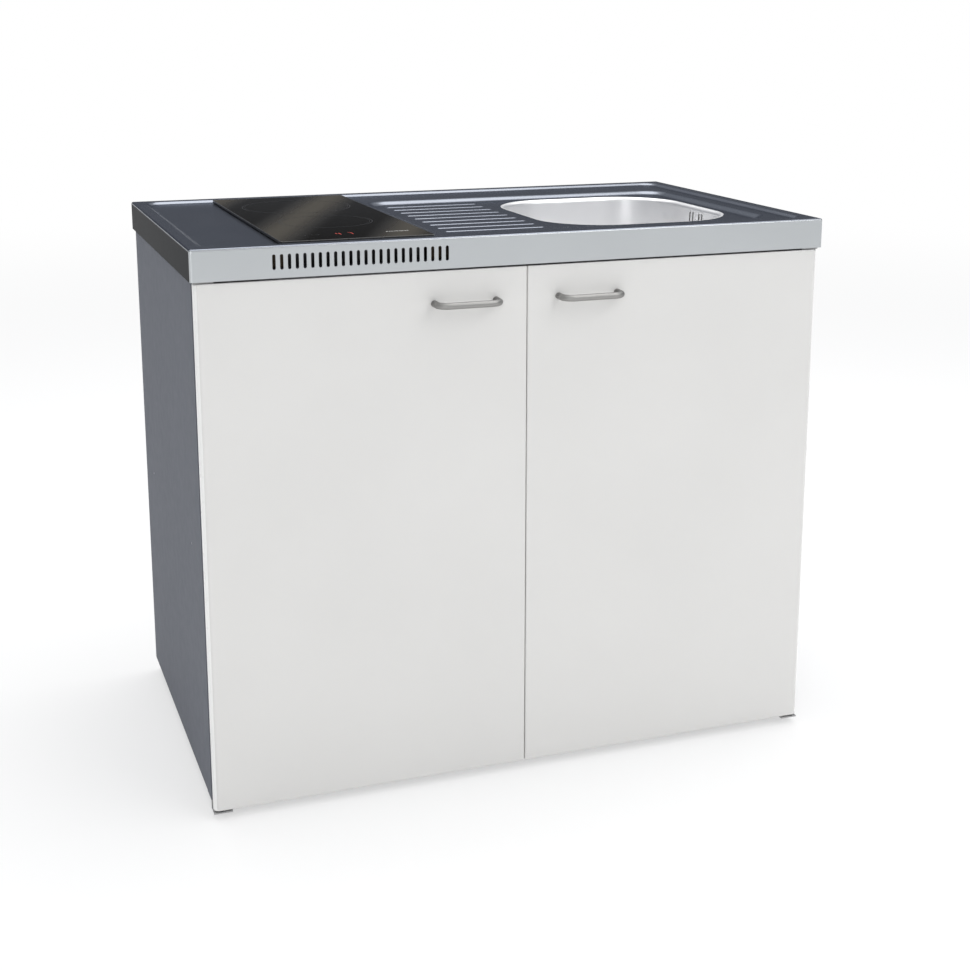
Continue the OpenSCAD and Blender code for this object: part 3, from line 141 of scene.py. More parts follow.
mix = tree.nodes.new("ShaderNodeMixShader")
tree.links.new(math_node(tree, "MULTIPLY", seen, fade.outputs["Result"]), mix.inputs["Fac"])
tree.links.new(surface.outputs["BSDF"], mix.inputs[1])
tree.links.new(white.outputs["Emission"], mix.inputs[2])
tree.links.new(mix.outputs["Shader"], tree.nodes["Material Output"].inputs["Surface"])
bm = bmesh.new()
bmesh.ops.create_circle(bm, cap_ends=True, radius=FLOOR_R, segments=96)
edge = [e for e in bm.edges if e.is_boundary]
for step in range(1, COVE_STEPS + 1):
    angle = RIGHT_ANGLE * step / COVE_STEPS
    before = RIGHT_ANGLE * (step - 1) / COVE_STEPS
    grown = bmesh.ops.extrude_edge_only(bm, edges=edge)["geom"]
    points = [g for g in grown if isinstance(g, bmesh.types.BMVert)]
    edge = [g for g in grown if isinstance(g, bmesh.types.BMEdge) and g.is_boundary]
    reach = (FLOOR_R + COVE_R * math.sin(angle)) / (FLOOR_R + COVE_R * math.sin(before))
    bmesh.ops.scale(bm, vec=(reach, reach, 1), verts=points)
    bmesh.ops.translate(bm, vec=(0, 0, COVE_R * (math.cos(before) - math.cos(angle))), verts=points)
for face in bm.faces:
    face.smooth = len(face.verts) == 4
floor = link_object("studio_floor", bm, [floor_paint])
print("floor radius", FLOOR_R)

# %% [markdown]
# The sheet metal shows the room that it mirrors. The worktop is dark, because it mirrors a dim far wall
# and its field's steel has a darker copy as painted shade, and its slopes are bright, because they mirror
# the light overhead. So the world is dim blue-grey near the horizon and pale above, and three soft lamps
# do the rest; the narrow one draws part of the light line on the doors' round edges, and a lighter
# edge lacquer paints the rest of that highlight.

# %% World
world = bpy.data.worlds.new("studio")
scene.world = world
world.use_nodes = True
nodes, links = world.node_tree.nodes, world.node_tree.links
direction = nodes.new("ShaderNodeTexCoord")
split = nodes.new("ShaderNodeSeparateXYZ")
sky = nodes.new("ShaderNodeValToRGB")
links.new(direction.outputs["Generated"], split.inputs["Vector"])
links.new(split.outputs["Z"], sky.inputs["Fac"])
links.new(sky.outputs["Color"], nodes["Background"].inputs["Color"])
nodes["Background"].inputs["Strength"].default_value = 1.0
SKY = [
    (0.0, (0.20, 0.21, 0.23)),
    (0.26, (0.17, 0.18, 0.21)),
    (0.58, (0.80, 0.81, 0.82)),
    (1.0, (0.98, 0.98, 0.98)),
]
sky.color_ramp.interpolation = "EASE"
for place, _ in SKY[1:-1]:
    sky.color_ramp.elements.new(place)
for stop, (place, colour) in zip(sky.color_ramp.elements, SKY):
    stop.position = place
    stop.color = (*colour, 1)
print("sky stops", len(sky.color_ramp.elements))


# %% Lamps
def soft_lamp(name, place, target, size, watts):
    """A rectangular soft box at a place, turned towards a target."""
    data = bpy.data.lights.new(name, "AREA")
    data.shape = "RECTANGLE"
    data.size, data.size_y = size
    data.energy = watts
    lamp = bpy.data.objects.new(name, data)
    lamp.location = place
    lamp.rotation_euler = (Vector(target) - Vector(place)).to_track_quat("-Z", "Y").to_euler()
    scene.collection.objects.link(lamp)


soft_lamp("key_lamp", (1.9, -3.1, 2.9), (0.1, -0.2, 0.5), (2.6, 2.2), 38.5)
soft_lamp("overhead_lamp", (0.5, 0.6, 3.4), (0.1, 0.0, 0.85), (3.6, 2.6), 70)
soft_lamp("edge_lamp", (-1.98, -3.47, 1.5), (-0.3, -0.3, 0.5), (0.4, 2.0), 16)

# %% [markdown]
# ## Finishes
#
# Every finish is a node material that reads the object's own metres, so a pattern has its real
# size. A few small helpers do most of it: grain makes a stretched noise, shares fits it to a
# range, tones and gloss let it set the colour and the roughness, and relief turns it into bumps.


# %% Helpers for finishes
def shader_of(finish):
    """The finish's own shader node."""
    return finish.node_tree.nodes["Principled BSDF"]


def new_finish(name, rough, metal=0.0, level=0.5, tint=None):
    """A plain surface with its constant values set on the shader itself."""
    finish = bpy.data.materials.new(name)
    finish.use_nodes = True
    set_inputs(shader_of(finish), Roughness=rough, Metallic=metal, Specular_IOR_Level=level)
    if tint:
        set_inputs(shader_of(finish), Specular_Tint=(*tint, 1))
    return finish


def grain(finish, stretch, scale, detail=2.0):
    """Noise in metres; a small stretch value makes it long along that axis."""
    tree = finish.node_tree
    place = tree.nodes.new("ShaderNodeTexCoord")
    turn = add_node(tree, "ShaderNodeMapping", Scale=stretch)
    noise = add_node(tree, "ShaderNodeTexNoise", Scale=scale, Detail=detail)
    tree.links.new(place.outputs["Object"], turn.inputs["Vector"])
    tree.links.new(turn.outputs["Vector"], noise.inputs["Vector"])
    return noise.outputs["Fac"]


def shares(finish, factor, low, high, to_low, to_high):
    """Stretches the middle of a noise to the wanted range."""
    step = add_node(finish.node_tree, "ShaderNodeMapRange", From_Min=low, From_Max=high,
                    To_Min=to_low, To_Max=to_high)
    finish.node_tree.links.new(factor, step.inputs["Value"])
    return step.outputs["Result"]


def tones(finish, factor, first, second):
    """Blends the base colour from the first tone to the second."""
    tree = finish.node_tree
    mix = tree.nodes.new("ShaderNodeMix")
    mix.data_type = "RGBA"
    mix.inputs["A"].default_value = (*first, 1)
    mix.inputs["B"].default_value = (*second, 1)
    tree.links.new(factor, mix.inputs["Factor"])
    tree.links.new(mix.outputs["Result"], shader_of(finish).inputs["Base Color"])


def gloss(finish, factor):
    """Lets a pattern set the roughness."""
    finish.node_tree.links.new(factor, shader_of(finish).inputs["Roughness"])


def relief(finish, factor, depth, strength=1.0):
    """Adds a bump of a real depth in metres; later calls lie on top of earlier ones."""
    tree = finish.node_tree
    shader = shader_of(finish)
    bump = add_node(tree, "ShaderNodeBump", Distance=depth, Strength=strength)
    if shader.inputs["Normal"].is_linked:
        tree.links.new(shader.inputs["Normal"].links[0].from_socket, bump.inputs["Normal"])
    tree.links.new(factor, bump.inputs["Height"])
    tree.links.new(bump.outputs["Normal"], shader.inputs["Normal"])


def times(colour, factor):
    """A colour made darker or lighter, up to white."""
    return tuple(min(1.0, c * factor) for c in colour)


print("finish helpers ready")

# %% [markdown]
# ** Sheet steel.** Rolled and brushed stainless has fine lines along the rolling direction, a
# slow cloudiness from the rolling mill and hardly any colour. One recipe with a few values
# gives the worktop's field, front edge and flanks, the bright bowl and the polished parts. The
# worktop's field and flanks are darker copies of the front edge's steel: painted shade.


# %% Steel
def steel(name, colour, rough, along, spread=0.03, waves=0.00015, tint=(0.6, 0.6, 0.62), cloud=0.03):
    """Brushed sheet: lines along one axis ("X", "Y" or "Z"), clouds and a faint waviness."""
    finish = new_finish(name, rough, metal=1.0, tint=tint)
    stretch = tuple(0.02 if axis == along else 1.0 for axis in "XYZ")
    lines = grain(finish, stretch, 2600, 3)
    clouds = grain(finish, (1, 1, 1), 9, 4)
    tones(finish, shares(finish, clouds, 0.3, 0.7, 0, 1), times(colour, 1 - cloud), times(colour, 1 + cloud))
    gloss(finish, shares(finish, lines, 0.3, 0.7, rough - spread, rough + spread))
    relief(finish, grain(finish, (1, 1, 1), 5, 1), waves * 12)
    relief(finish, lines, 0.000003, 0.3)
    return finish


# The worktop is one sheet in three tones: the field's darker steel and the flanks' near-black steel are
# painted shade; the front edge keeps the plain steel tone.
shaded_field_steel = steel("worktop_field_painted_dark", (0.225, 0.238, 0.268), 0.23, "X", tint=(0.5, 0.52, 0.56))
apron_steel = steel("apron_steel", (0.56, 0.585, 0.60), 0.34, "X", spread=0.02, waves=0.00005, cloud=0.015)
shaded_flank_steel = steel("shaded_flank_steel", (0.085, 0.088, 0.094), 0.34, "Y", waves=0.00005,
                    tint=(0.3, 0.3, 0.3), cloud=0.015)
bowl_steel = steel("bowl_steel", (0.88, 0.88, 0.885), 0.38, "Y", tint=(0.95, 0.95, 0.95))
set_inputs(shader_of(bowl_steel), Metallic=0.84)
bright_steel = steel("polished_steel", (0.74, 0.74, 0.74), 0.14, "X", spread=0.03)
handle_steel = steel("handle_steel", (0.35, 0.345, 0.335), 0.48, "X", waves=0.00002)
steels = (shaded_field_steel, apron_steel, shaded_flank_steel, bowl_steel, bright_steel, handle_steel)
print("steel finishes", [finish.name for finish in steels])

# %% [markdown]
# **Zinc and paint.** Zinc plating is mottled. Baked paint has a skin like an orange's, with
# bumps two or three millimetres wide and a few thousandths deep.


# %% Zinc and paint
def paint(name, colour, rough, skin=0.00001, coat=0.1):
    """Baked paint: faint clouds, an orange's skin and some clear coat."""
    finish = new_finish(name, rough, level=0.45)
    clouds = grain(finish, (1, 1, 1), 4, 3)
    tones(finish, shares(finish, clouds, 0.3, 0.7, 0, 1), times(colour, 0.985), times(colour, 1.015))
    gloss(finish, shares(finish, grain(finish, (1, 1, 1), 60, 3), 0.3, 0.7, rough - 0.04, rough + 0.04))
    relief(finish, grain(finish, (1, 1, 1), 420, 1), skin)
    set_inputs(shader_of(finish), Coat_Weight=coat, Coat_Roughness=0.1)
    return finish


zinc = new_finish("zinc_plating", 0.4, metal=1.0, tint=(0.7, 0.7, 0.72))
flakes = grain(zinc, (1, 1, 1), 130, 5)
tones(zinc, shares(zinc, flakes, 0.35, 0.65, 0, 1), (0.42, 0.43, 0.45), (0.60, 0.61, 0.62))
gloss(zinc, shares(zinc, flakes, 0.3, 0.7, 0.3, 0.5))
relief(zinc, flakes, 0.00002)
door_paint = paint("door_paint", (0.715, 0.708, 0.69), 0.36, coat=0.7)
# A lighter, glossier copy of the door lacquer for the rounded edges: a painted highlight.
highlight_edge_paint = paint("door_edge_painted_highlight", (0.90, 0.895, 0.88), 0.3, coat=0.9)
cabinet_paint = paint("cabinet_paint", (0.150, 0.160, 0.185), 0.62, skin=0.000004, coat=0.0)
set_inputs(shader_of(cabinet_paint), Specular_IOR_Level=0.10)
bracket_paint = paint("bracket_paint", (0.36, 0.36, 0.36), 0.45)
print("paints", door_paint.name, highlight_edge_paint.name, cabinet_paint.name, bracket_paint.name)


# %% [markdown]
# **Plastic, rubber, board and timber.** Moulded parts have a fine sparkle texture and slightly
# uneven tone. Timber has long fibres and growth rings, so its noise is stretched along X.


# %% Moulded and soft finishes
def moulded(name, colour, rough, grit=900, depth=0.00002, change=0.04):
    """A moulded or pressed surface: blotches of its own tone and a fine grit."""
    finish = new_finish(name, rough)
    blotches = grain(finish, (1, 1, 1), 28, 4)
    tones(finish, shares(finish, blotches, 0.3, 0.7, 0, 1),
          times(colour, 1 - change), times(colour, 1 + change))
    gloss(finish, shares(finish, grain(finish, (1, 1, 1), 150, 3), 0.3, 0.7, rough - 0.06, rough + 0.06))
    relief(finish, grain(finish, (1, 1, 1), grit, 2), depth)
    return finish


pipe_plastic = moulded("pipe_plastic", (0.80, 0.80, 0.78), 0.34, change=0.02)
rubber = moulded("black_rubber", (0.022, 0.022, 0.023), 0.7, 1400, 0.00005, 0.12)
bitumen = moulded("bitumen_pad", (0.05, 0.048, 0.046), 0.85, 700, 0.0002, 0.2)
nylon = moulded("dark_nylon", (0.075, 0.077, 0.08), 0.5, 1100, 0.00003, 0.08)
mineral = moulded("mineral_board", (0.74, 0.71, 0.62), 0.9, 500, 0.0003, 0.1)
honeycomb = moulded("honeycomb_paper", (0.55, 0.42, 0.27), 0.85, 420, 0.0004, 0.15)
# The hob tray shows through the air slots; its near-black colour paints the shade in them.
hob_tray_painted_shade = moulded("hob_tray_painted_shade", (0.025, 0.025, 0.027), 0.4, 600, 0.00003, 0.1)
green_board = moulded("circuit_board", (0.02, 0.13, 0.06), 0.35, 260, 0.00003, 0.25)

# The battens show through the air slots; their very dark tone paints the shade in there, besides the fibres
# and rings of the wood.
timber = new_finish("timber", 0.62)
fibres = grain(timber, (0.05, 1, 1), 420, 5)
rings = grain(timber, (0.08, 1, 1), 46, 3)
tones(timber, shares(timber, rings, 0.32, 0.62, 0, 1), (0.085, 0.06, 0.035), (0.13, 0.095, 0.06))
gloss(timber, shares(timber, fibres, 0.3, 0.7, 0.52, 0.72))
relief(timber, fibres, 0.00025)
print("soft finishes ready")

# %% [markdown]
# ** Hob glass.** Ceramic glass is almost black and mirrors the room. Diagonal brownish streaks are
# painted into it as a reflection: a wave pattern browns and lightens the colour and makes it a little
# rougher.

# %% Glass and its print
# A diagonal wave pattern paints reflection streaks into the glass: browner, lighter, rougher and less
# metallic.
STREAK_TURN, STREAK_PITCH, STREAK_SHIFT = math.radians(24), 0.186, -0.027
hob_glass = new_finish("hob_glass", 0.12, level=0.1, tint=(0.1, 0.088, 0.068))
tree = hob_glass.node_tree
turn = add_node(tree, "ShaderNodeMapping", Location=(STREAK_SHIFT, 0, 0), Rotation=(0, 0, STREAK_TURN))
tree.links.new(tree.nodes.new("ShaderNodeTexCoord").outputs["Object"], turn.inputs["Vector"])
reflection_streaks = add_node(tree, "ShaderNodeTexWave", Scale=2 * math.pi / (20 * STREAK_PITCH), Distortion=0.6, Detail=2.0,
                Detail_Scale=1.2)
tree.links.new(turn.outputs["Vector"], reflection_streaks.inputs["Vector"])
painted_reflection = shares(hob_glass, reflection_streaks.outputs["Fac"], 0.2, 1.0, 0, 1)
tones(hob_glass, painted_reflection, (0.008, 0.0075, 0.0065), (0.080, 0.071, 0.055))
gloss(hob_glass, shares(hob_glass, reflection_streaks.outputs["Fac"], 0.35, 1.0, 0.10, 0.34))
tree.links.new(shares(hob_glass, reflection_streaks.outputs["Fac"], 0.35, 1.0, 0.9, 0.45),
               shader_of(hob_glass).inputs["Metallic"])
dark_edge = moulded("dark_glass_edge", (0.02, 0.02, 0.019), 0.3, 2000, 0.00001, 0.05)
# A lighter copy of the pane's edge finish, used as a painted highlight on the right-facing edge.
edge_highlight_finish = moulded("glass_edge_painted_highlight", (0.22, 0.23, 0.23), 0.3, 2000, 0.00001, 0.05)
hob_print = moulded("hob_print", (0.022, 0.021, 0.019), 0.3, 1500, 0.000005, 0.08)
set_inputs(shader_of(hob_print), Metallic=0.85, Specular_IOR_Level=0.15)
pale_print = moulded("pale_print", (0.62, 0.62, 0.60), 0.45, 1500, 0.000005, 0.05)
lit_print = new_finish("lit_digits", 0.4)
glow = shares(lit_print, grain(lit_print, (1, 1, 1), 2500, 2), 0.2, 0.8, 0.8, 1.2)
tones(lit_print, glow, (0.30, 0.02, 0.015), (0.45, 0.03, 0.02))
set_inputs(shader_of(lit_print), Emission_Color=(0.9, 0.10, 0.06, 1), Emission_Strength=0.35)
print("glass finishes ready")

# %% [markdown]
# ## Helpers for pressed sheet
#
# A pressed worktop is a flat sheet with raised and sunk shapes. Each shape starts here as one
# flat face with round corners. Insetting that face again and again, and changing the height of
# the inner face each time, draws the slope like a die does.

# %% Pressing helpers
MM = 0.001
WELD = 0.002 * MM
SMALL_STEPS, ROUND_STEPS = 6, 8


def mm(*lengths):
    """Lengths in millimetres, turned into metres."""
    return tuple(length * MM for length in lengths)


def quarter_turn(steps):
    """Angles in even steps up to a right angle, without the start."""
    return [RIGHT_ANGLE * i / steps for i in range(1, steps + 1)]


def flat_rectangle(bm, centre, size):
    """A flat upward face at a centre (x, y, z)."""
    known = set(bm.faces)
    where = Matrix.Translation(centre) @ Matrix.Diagonal((size[0], size[1], 1, 1))
    bmesh.ops.create_grid(bm, x_segments=1, y_segments=1, size=0.5, matrix=where)
    return next(f for f in bm.faces if f not in known)


def plate(bm, centre, size, radius, steps):
    """A flat face with round corners at a centre (x, y, z)."""
    known = set(bm.faces)
    corners = list(flat_rectangle(bm, centre, size).verts)
    bmesh.ops.bevel(bm, geom=corners, offset=radius, offset_type="OFFSET", affect="VERTICES",
                    segments=steps, profile=0.5, material=-1)
    return next(f for f in bm.faces if f not in known)


def press(bm, face, profile, smooth=True, material=0):
    """Insets a face along (distance from its outline, height) pairs; returns the outer edges."""
    done, outer = 0.0, None
    for inward, height in profile:
        band = bmesh.ops.inset_region(bm, faces=[face], thickness=inward - done,
                                      use_even_offset=True, use_boundary=True)["faces"]
        if outer is None:
            outer = [e for f in band for e in f.edges if e.is_boundary]
        for point in face.verts:
            point.co.z = height
        for f in band:
            f.smooth = smooth
            f.material_index = material
        done = inward
    return outer


def grow(bm, ring):
    """Extrudes a ring of edges; returns the new points and the new ring."""
    made = bmesh.ops.extrude_edge_only(bm, edges=ring)["geom"]
    return ([g for g in made if isinstance(g, bmesh.types.BMVert)],
            [g for g in made if isinstance(g, bmesh.types.BMEdge) and g.is_boundary])


def swell(bm, ring, centre, size, profile):
    """Raises a long round-ended outline to a soft ridge by shrinking it step by step."""
    done = 0.0
    for inward, height in profile:
        points, ring = grow(bm, ring)
        shrink = [(length / 2 - inward) / (length / 2 - done) for length in size]
        bmesh.ops.scale(bm, vec=(*shrink, 1), space=Matrix.Translation(-Vector(centre)), verts=points)
        for point in points:
            point.co.z = height
        done = inward
    bmesh.ops.contextual_create(bm, geom=ring)


def open_up(bm, face):
    """Takes a face away and returns its edges."""
    edges = list(face.edges)
    bm.faces.remove(face)
    return edges


def fill(bm, edges, normal=(0, 0, 1), material=0):
    """Fills the flat area between an outline and the outlines inside it."""
    made = bmesh.ops.triangle_fill(bm, use_beauty=True, use_dissolve=False,
                                   edges=edges, normal=normal)["geom"]
    faces = [f for f in made if isinstance(f, bmesh.types.BMFace)]
    for f in faces:
        f.material_index = material
        if f.normal.dot(Vector(normal)) < 0:
            f.normal_flip()
    return faces


def face_up(bm):
    """Welds a sheet's points and turns its faces so that the largest level one looks up."""
    bmesh.ops.remove_doubles(bm, verts=bm.verts, dist=WELD)
    bmesh.ops.recalc_face_normals(bm, faces=bm.faces)
    level = max(bm.faces, key=lambda f: f.calc_area() if abs(f.normal.z) > 0.9 else 0)
    if level.normal.z < 0:
        bmesh.ops.reverse_faces(bm, faces=bm.faces)


def soft_slope(run, start, end, steps):
    """A slope that leaves and meets the flats without a crease."""
    way = [i / steps for i in range(1, steps + 1)]
    return [(run * t, start + (end - start) * (3 * t * t - 2 * t ** 3)) for t in way]


def show(name, bm, finishes, body, nodes):
    """Links a finished piece, lets it ride on its body and stand for its CAD nodes."""
    thing = link_object(name, bm, finishes)
    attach(thing, body)
    if nodes:
        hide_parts(*nodes)
    print(name, len(thing.data.polygons), "faces")
    return thing


def thicken(thing, thickness):
    """Gives a one-sided sheet its thickness, on the side away from its faces."""
    wall = thing.modifiers.new("sheet", "SOLIDIFY")
    wall.thickness = thickness
    wall.offset = -1
    wall.use_even_offset = True


print("pressing helpers ready")

# %% [markdown]
# ## Worktop
#
# One sheet makes the rim, the field, the drainer with its ribs and the folded edge. The levels
# and outlines are those of the construction, so the hob, the bowl and the cabinet fit under it.

# %% Worktop: levels and outlines
top_low, top_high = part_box("worktop")
TOP_X, TOP_Y = (top_low.x + top_high.x) / 2, (top_low.y + top_high.y) / 2
RIM_Z, APRON_Z = top_high.z, top_low.z
FIELD_Z = RIM_Z - 4 * MM
DRAINER_Z = FIELD_Z - 6 * MM
TOP_SIZE = (top_high.x - top_low.x, top_high.y - top_low.y)
SHEET = 1 * MM
EDGE_R = 3 * MM
TOP_CORNER_R = EDGE_R + MM
HEM = 3.5 * MM
PAINTED_DARK_BEND = 0.45 * EDGE_R
RIM_W, RIM_RUN, FIELD_CORNER_R = mm(18, 10, 30)
CORNER_STEPS, DRAINER_STEPS, DRAINER_CORNER_STEPS = 10, 10, 14
HOB_X, HOB_Y = -250.08 * MM, TOP_Y
HOB_CUT, HOB_CUT_R = mm(206, 516), 6 * MM
DRAINER_MID = mm(164.46, -5)
DRAINER_SIZE = mm(573.08, 428)
DRAINER_RUN, DRAINER_CORNER_R = mm(16, 45)
BOWL_MID = mm(262, 5)
BOWL_SIZE = mm(330, 360)
BOWL_R, BOWL_STEPS = 110 * MM, 20
RIB_MID_X, RIB_LENGTH, RIB_WIDTH, RIB_H = mm(-6.54, 165, 9, 1.25)
RIB_FIRST, RIB_PITCH, RIB_COUNT = -161 * MM, 40 * MM, 9
RIB_END_R, RIB_RUN, RIB_WELD = 0.48 * RIB_WIDTH, 0.42 * RIB_WIDTH, 0.01 * MM
print("worktop", [round(v, 3) for v in TOP_SIZE], "rim at", round(RIM_Z, 3))

# %% Worktop: folded edge, rim and field
bm = bmesh.new()
# Slots of the sheet: the field's darker copy, the plain front edge and the flanks' near-black copy; the two
# dark copies are painted shade.
PAINTED_DARK, LIGHT, PAINTED_SHADE_FLANK = 0, 1, 2
hem_face = plate(bm, (TOP_X, TOP_Y, APRON_Z), TOP_SIZE, TOP_CORNER_R, CORNER_STEPS)
hem_face.normal_flip()
hem_outline = press(bm, hem_face, [(HEM, APRON_Z)], smooth=False, material=PAINTED_SHADE_FLANK)
open_up(bm, hem_face)
bend_face = plate(bm, (TOP_X, TOP_Y, RIM_Z - EDGE_R), TOP_SIZE, TOP_CORNER_R, CORNER_STEPS)
bend = [(EDGE_R * (1 - math.cos(a)), RIM_Z - EDGE_R + EDGE_R * math.sin(a))
        for a in quarter_turn(SMALL_STEPS)]
bend_outline = press(bm, bend_face, bend, material=LIGHT)
# The bend's upper part takes the field's darker copy: painted shade where the bend would catch a highlight.
for f in bm.faces:
    if f.calc_center_median().z > RIM_Z - PAINTED_DARK_BEND:
        f.material_index = PAINTED_DARK
rim_outer = open_up(bm, bend_face)
walls = bmesh.ops.bridge_loops(bm, edges=hem_outline + bend_outline)["faces"]
for f in walls:
    f.material_index = LIGHT if abs(f.calc_center_median().y - top_low.y) < EDGE_R else PAINTED_SHADE_FLANK
field_face = plate(bm, (TOP_X, TOP_Y, RIM_Z), (TOP_SIZE[0] - 2 * RIM_W, TOP_SIZE[1] - 2 * RIM_W),
                   FIELD_CORNER_R, CORNER_STEPS)
rim_inner = press(bm, field_face, soft_slope(RIM_RUN, RIM_Z, FIELD_Z, ROUND_STEPS))
field_outline = open_up(bm, field_face)
fill(bm, rim_outer + rim_inner)
print("edge and rim", len(bm.faces), "faces")

# %% [markdown]
# The drainer is a second, deeper pressing inside the field, and the ribs are raised from its
# floor. The hob's cut-out and the bowl's mouth are left open, as on the real sheet.

# %% Worktop: drainer, ribs and cut-outs
drainer_face = plate(bm, (*DRAINER_MID, FIELD_Z), DRAINER_SIZE, DRAINER_CORNER_R, DRAINER_CORNER_STEPS)
drainer_outline = press(bm, drainer_face, soft_slope(DRAINER_RUN, FIELD_Z, DRAINER_Z, DRAINER_STEPS))
drainer_floor = open_up(bm, drainer_face)
hob_cut = open_up(bm, plate(bm, (HOB_X, HOB_Y, FIELD_Z), HOB_CUT, HOB_CUT_R, SMALL_STEPS))
fill(bm, field_outline + drainer_outline + hob_cut)
bowl_mouth = open_up(bm, plate(bm, (*BOWL_MID, DRAINER_Z), BOWL_SIZE, BOWL_R, BOWL_STEPS))
rib_edges = []
for i in range(RIB_COUNT):
    middle = (RIB_MID_X, RIB_FIRST + i * RIB_PITCH, DRAINER_Z)
    cell = flat_rectangle(bm, middle, (RIB_LENGTH + 2 * RIB_WIDTH, RIB_PITCH))
    cell_edges = open_up(bm, cell)
    rib_outline = open_up(bm, plate(bm, middle, (RIB_LENGTH, RIB_WIDTH), RIB_END_R, ROUND_STEPS))
    fill(bm, cell_edges + rib_outline)
    floor_known = set(bm.faces)
    swell(bm, rib_outline, middle, (RIB_LENGTH, RIB_WIDTH),
          soft_slope(RIB_RUN, DRAINER_Z, DRAINER_Z + RIB_H, SMALL_STEPS))
    for f in set(bm.faces) - floor_known:
        f.smooth = True
    rib_edges += cell_edges
points = list({v for e in rib_edges for v in e.verts})
bmesh.ops.remove_doubles(bm, verts=points, dist=RIB_WELD)
rib_block = [e for v in points if v.is_valid for e in v.link_edges if e.is_boundary]
floor_faces = fill(bm, drainer_floor + bowl_mouth + list(set(rib_block)))
print("drainer floor", round(sum(f.calc_area() for f in floor_faces), 4), "square metres round the ribs")

# %% [markdown]
# A row of slots in the folded front lets cooling air reach the hob. The front wall is one flat
# face, so it is taken away and filled again around the slots' outlines.

# %% Worktop: air slots
VENT_COUNT, VENT_PITCH, VENT_SIZE = 24, 11.1 * MM, mm(4.8, 22)
VENT_R = 0.499 * VENT_SIZE[0]
VENT_X, VENT_Z = HOB_X - 4 * MM, APRON_Z + 23 * MM
front_wall = max((f for f in walls if f.is_valid and f.calc_center_median().y < top_low.y + MM),
                 key=lambda f: f.calc_area())
wall_edges = open_up(bm, front_wall)
slot_edges = []
for i in range(VENT_COUNT):
    slot_x = VENT_X + (i - (VENT_COUNT - 1) / 2) * VENT_PITCH
    slot_face = plate(bm, (slot_x, 0, 0), VENT_SIZE, VENT_R, SMALL_STEPS)
    upright = list(slot_face.verts)
    bmesh.ops.rotate(bm, verts=upright, cent=(0, 0, 0), matrix=Matrix.Rotation(RIGHT_ANGLE, 3, "X"))
    bmesh.ops.translate(bm, verts=upright, vec=(0, top_low.y, VENT_Z))
    slot_edges += open_up(bm, slot_face)
fill(bm, wall_edges + slot_edges, normal=(0, -1, 0), material=LIGHT)
face_up(bm)
worktop = show("worktop_sheet", bm, [shaded_field_steel, apron_steel, shaded_flank_steel], "cabinet", ["worktop"])
thicken(worktop, SHEET)

# %% [markdown]
# ## Sink bowl
#
# The bowl is deep drawn: a rolled lip, a wall that leans in slightly, a wide bend and a flat
# floor with a sunk seat for the waste. All of it is one pressing of the mouth's outline.

# %% Bowl
LIP_R, WALL_LEAN, WALL_H, BOTTOM_R = mm(7, 6, 105, 40)
BEND_START = 0.0001
SEAT_R = 58 * MM
SEAT_STEPS = [mm(0.4, 0.3), mm(1.2, 1.4), mm(2, 2.6), mm(2.6, 3), mm(13, 3)]
bm = bmesh.new()
bowl_face = plate(bm, (*BOWL_MID, DRAINER_Z), BOWL_SIZE, BOWL_R, BOWL_STEPS)
quarter = quarter_turn(ROUND_STEPS)
lip = [(LIP_R * math.sin(a), DRAINER_Z - LIP_R * (1 - math.cos(a))) for a in quarter]
wall_and_bend = [(LIP_R + WALL_LEAN + BOTTOM_R * (1 - math.cos(a)),
                  DRAINER_Z - LIP_R - WALL_H - BOTTOM_R * math.sin(a)) for a in [BEND_START] + quarter]
press(bm, bowl_face, lip + wall_and_bend)
FLOOR_Z = DRAINER_Z - LIP_R - WALL_H - BOTTOM_R
floor_outline = open_up(bm, bowl_face)
seat = bmesh.ops.create_circle(bm, cap_ends=True, radius=SEAT_R, segments=64,
                               matrix=Matrix.Translation((*BOWL_MID, FLOOR_Z)))["verts"]
seat_face = next(f for f in bm.faces if set(f.verts) == set(seat))
seat_outline = press(bm, seat_face, [(inward, FLOOR_Z - depth) for inward, depth in SEAT_STEPS])
open_up(bm, seat_face)
fill(bm, floor_outline + seat_outline)
print("bowl floor at", round(FLOOR_Z, 4))

# %% [markdown]
# The overflow is four upright slots with a screw between them, in the flat part of the right
# wall. That wall leans, so each outline is drawn upright and then laid onto the wall.

# %% Bowl: overflow
OVERFLOW_Y, OVERFLOW_Z = -7 * MM, DRAINER_Z - 22 * MM
WALL_TOP = (BOWL_MID[0] + BOWL_SIZE[0] / 2 - LIP_R, DRAINER_Z - LIP_R)
SLOT_SIZE, SLOT_PITCH, SLOT_R, SCREW_R = mm(4.5, 24), 11 * MM, 2.24 * MM, 1.8 * MM


def wall_x(z):
    """The place of the leaning right wall at a height."""
    return WALL_TOP[0] - WALL_LEAN * (WALL_TOP[1] - z) / WALL_H


def on_wall(face):
    """Turns a flat outline upright and lays it on the leaning wall."""
    points = list(face.verts)
    for axis in "XZ":
        bmesh.ops.rotate(bm, verts=points, cent=(0, 0, 0), matrix=Matrix.Rotation(RIGHT_ANGLE, 3, axis))
    bmesh.ops.translate(bm, verts=points, vec=(0, OVERFLOW_Y, OVERFLOW_Z))
    for point in points:
        point.co.x = wall_x(point.co.z)
    return open_up(bm, face)


